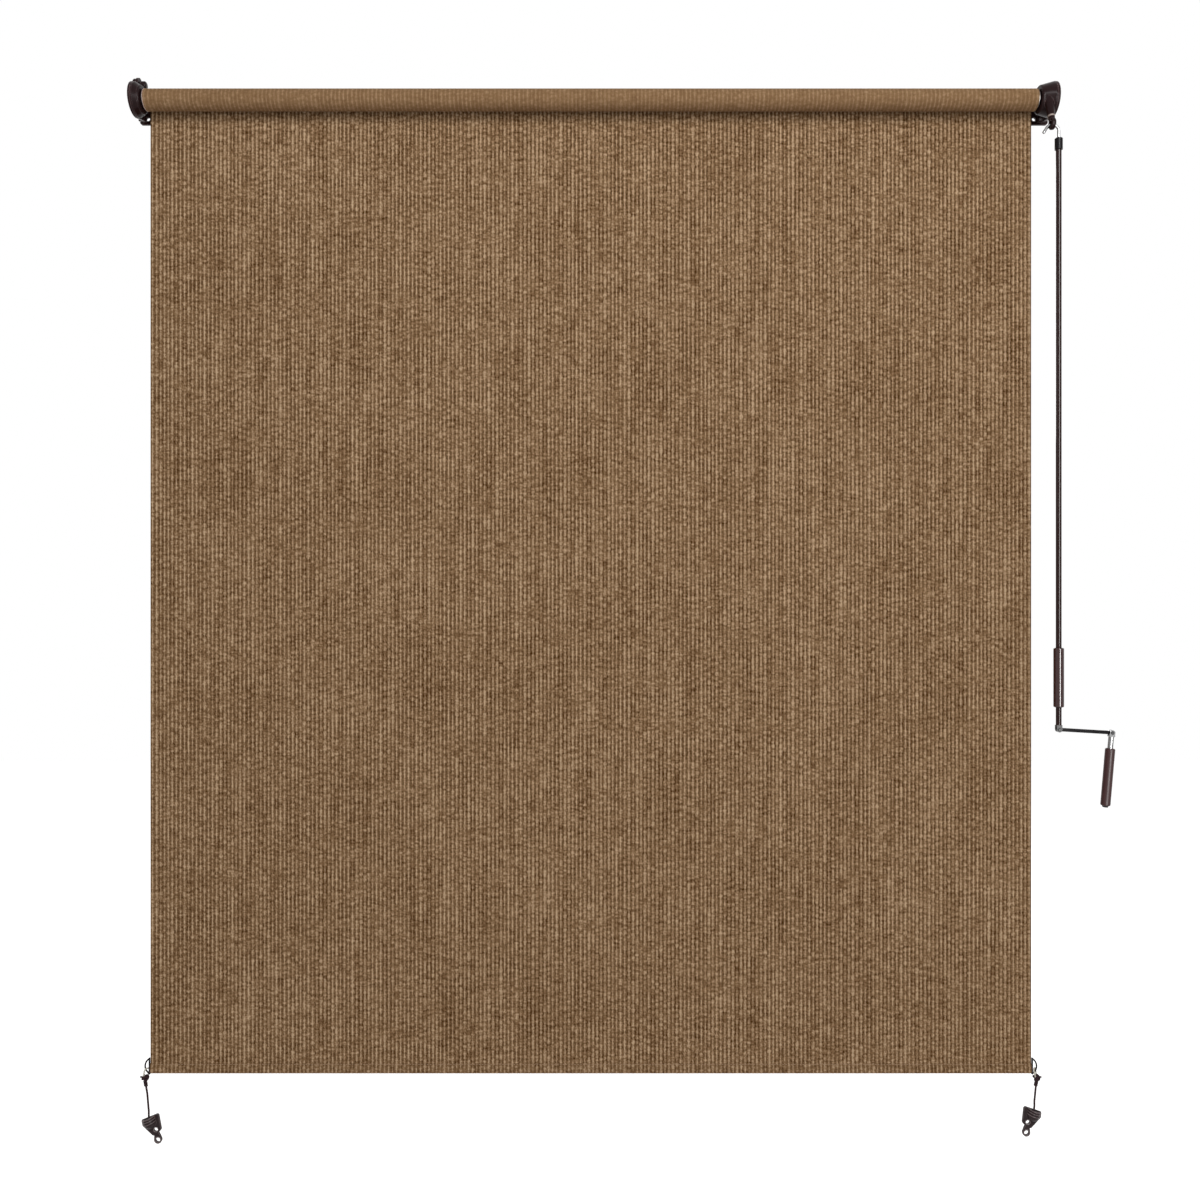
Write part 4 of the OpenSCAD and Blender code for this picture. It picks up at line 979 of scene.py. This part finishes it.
    def stitches(self, cloth, left, right, middle, depth, height):
        """Row of sewn stitches on both faces of the hem: each is a short thread that dips in at its ends,
        y = depth - 2 * thread radius * (2s - 1)^4 along its length s."""
        count = int((right - left) / cloth.stitch) - 1
        s = np.linspace(0, 1, 7)
        first = left + cloth.stitch * STITCH_START
        grids = []
        for face in (-1, 1):
            y = middle + face * (depth - 2 * THREAD_RADIUS * (2 * s - 1) ** 4)
            one = np.stack([STITCH_FILL * cloth.stitch * s, y, height + 0 * s], axis=-1)
            grid, close_rows, close_columns, uv = tube(one, THREAD_RADIUS, 6)
            for place in first + cloth.stitch * np.arange(count):
                grids.append((grid + np.array([place, 0, 0]), close_rows, close_columns, uv))
        pale = cord_material("Hem thread", cloth.thread, scaled(cloth.thread, 1.3))
        return make_piece("hem_stitching", grids, pale)


# Brackets and crank

MILL_BRIGHT = (0.32, 0.31, 0.30)
MILL_DULL = (0.22, 0.21, 0.20)


class SHADE_OT_brackets(bpy.types.Operator):
    """Finish of brackets, housings, gear, roller and rail"""

    bl_idname = "shade.brackets"
    bl_label = "Brackets"

    def execute(self, context):
        fittings = context.scene.shade_fittings
        # Each moulding's paler colour marks its edges: scuffs and painted highlights
        brown = plastic("Bracket moulding", fittings.bracket, fittings.bracket_scuffs_highlights, gloss=0.2, level=0.07)
        put_on(brown, "left_bracket", "left_cover", "idler_housing")
        put_on(brown, "right_bracket", "right_cover", "gear_housing", "eyelet")
        pale = plastic("Bush plastic", fittings.bush, scaled(fittings.bush, 1.2), gloss=0.45, level=0.4)
        put_on(pale, "idler_bush", "stem_bush", "worm_wheel")
        black = plastic("Black plastic", fittings.black, scaled(fittings.black, 8), gloss=0.28, level=0.06)
        put_on(black, "idler_plug", "drive_plug", "left_end_cap", "right_end_cap")
        aluminium = metal("Mill aluminium", MILL_BRIGHT, MILL_DULL, gloss=0.45, metallic=0.6)
        put_on(aluminium, "roller_tube", "hem_rail")
        screws = metal("Screw steel", scaled(fittings.steel, 2), fittings.steel, gloss=0.25)
        put_on(screws, "idler_screws", "gear_screws", "idler_pin", "worm_shaft", "eyelet_pin")
        return {"FINISHED"}


class SHADE_OT_crank(bpy.types.Operator):
    """Finish of hook, pole, sleeve, arm and grip"""

    bl_idname = "shade.crank"
    bl_label = "Crank"

    def execute(self, context):
        fittings = context.scene.shade_fittings
        bare = fittings.steel
        steel = metal("Plated steel", bare, scaled(bare, 0.7), gloss=0.17)
        put_on(steel, "crank_hook", "handle_stub")
        blackened = metal("Blackened steel", scaled(bare, 0.14), scaled(bare, 0.05), gloss=0.3)
        put_on(blackened, "elbow_pin", "handle_pin", "grip_screw", "elbow_fork")
        # Paler colours at the ends of the rods: scuffs and painted highlights
        pale_scuffs_and_highlights = scaled(fittings.pole, 3.0)
        paint = rod_plastic("Pole paint", fittings.pole, pale_scuffs_and_highlights, gloss=0.05, level=0.15, strength=0.0)
        put_on(paint, "crank_pole")
        brown, scuff_and_highlight = fittings.grip, fittings.grip_scuffs_highlights
        sleeve = rod_plastic("Sleeve plastic", brown, scuff_and_highlight, gloss=0.08, level=0.4, strength=0.02)
        put_on(sleeve, "pole_sleeve")
        grip = rod_plastic("Grip plastic", brown, scuff_and_highlight, gloss=0.42, level=0.25, strength=0.15)
        put_on(grip, "handle_grip")
        pale_scuffs_and_highlights = scaled(fittings.black, 6)
        jet = rod_plastic("Arm plastic", fittings.black, pale_scuffs_and_highlights, gloss=0.2, level=0.08, strength=0.05)
        put_on(jet, "hook_collar", "crank_arm")
        return {"FINISHED"}


class SHADE_PT_panel(bpy.types.Panel):
    """Steps that dress the shade, in order"""

    bl_idname = "SHADE_PT_panel"
    bl_label = "Roller Shade"
    bl_space_type = "VIEW_3D"
    bl_region_type = "UI"
    bl_category = "Shade"

    def draw(self, context):
        for name in GROUPS:
            settings = getattr(context.scene, name)
            box = self.layout.box()
            for field in settings.bl_rna.properties.keys():
                if field not in ("rna_type", "name"):
                    box.prop(settings, field)
        for operator in OPERATORS:
            self.layout.operator(operator.bl_idname)


OPERATORS = (SHADE_OT_stage, SHADE_OT_tie_downs, SHADE_OT_cloth, SHADE_OT_brackets, SHADE_OT_crank)
CLASSES = (*GROUPS.values(), *OPERATORS, SHADE_PT_panel)


def register():
    """Adds the add-on's classes and its settings on the scene."""
    for item in CLASSES:
        bpy.utils.register_class(item)
    for name, group in GROUPS.items():
        setattr(bpy.types.Scene, name, bpy.props.PointerProperty(type=group))


def unregister():
    """Takes the settings and the classes away again."""
    for name in GROUPS:
        delattr(bpy.types.Scene, name)
    for item in reversed(CLASSES):
        bpy.utils.unregister_class(item)


def main():
    """Dresses the shade."""
    register()
    bpy.ops.shade.stage()
    bpy.ops.shade.tie_downs()
    bpy.ops.shade.cloth()
    bpy.ops.shade.brackets()
    bpy.ops.shade.crank()


if __name__ == "__main__":
    main()
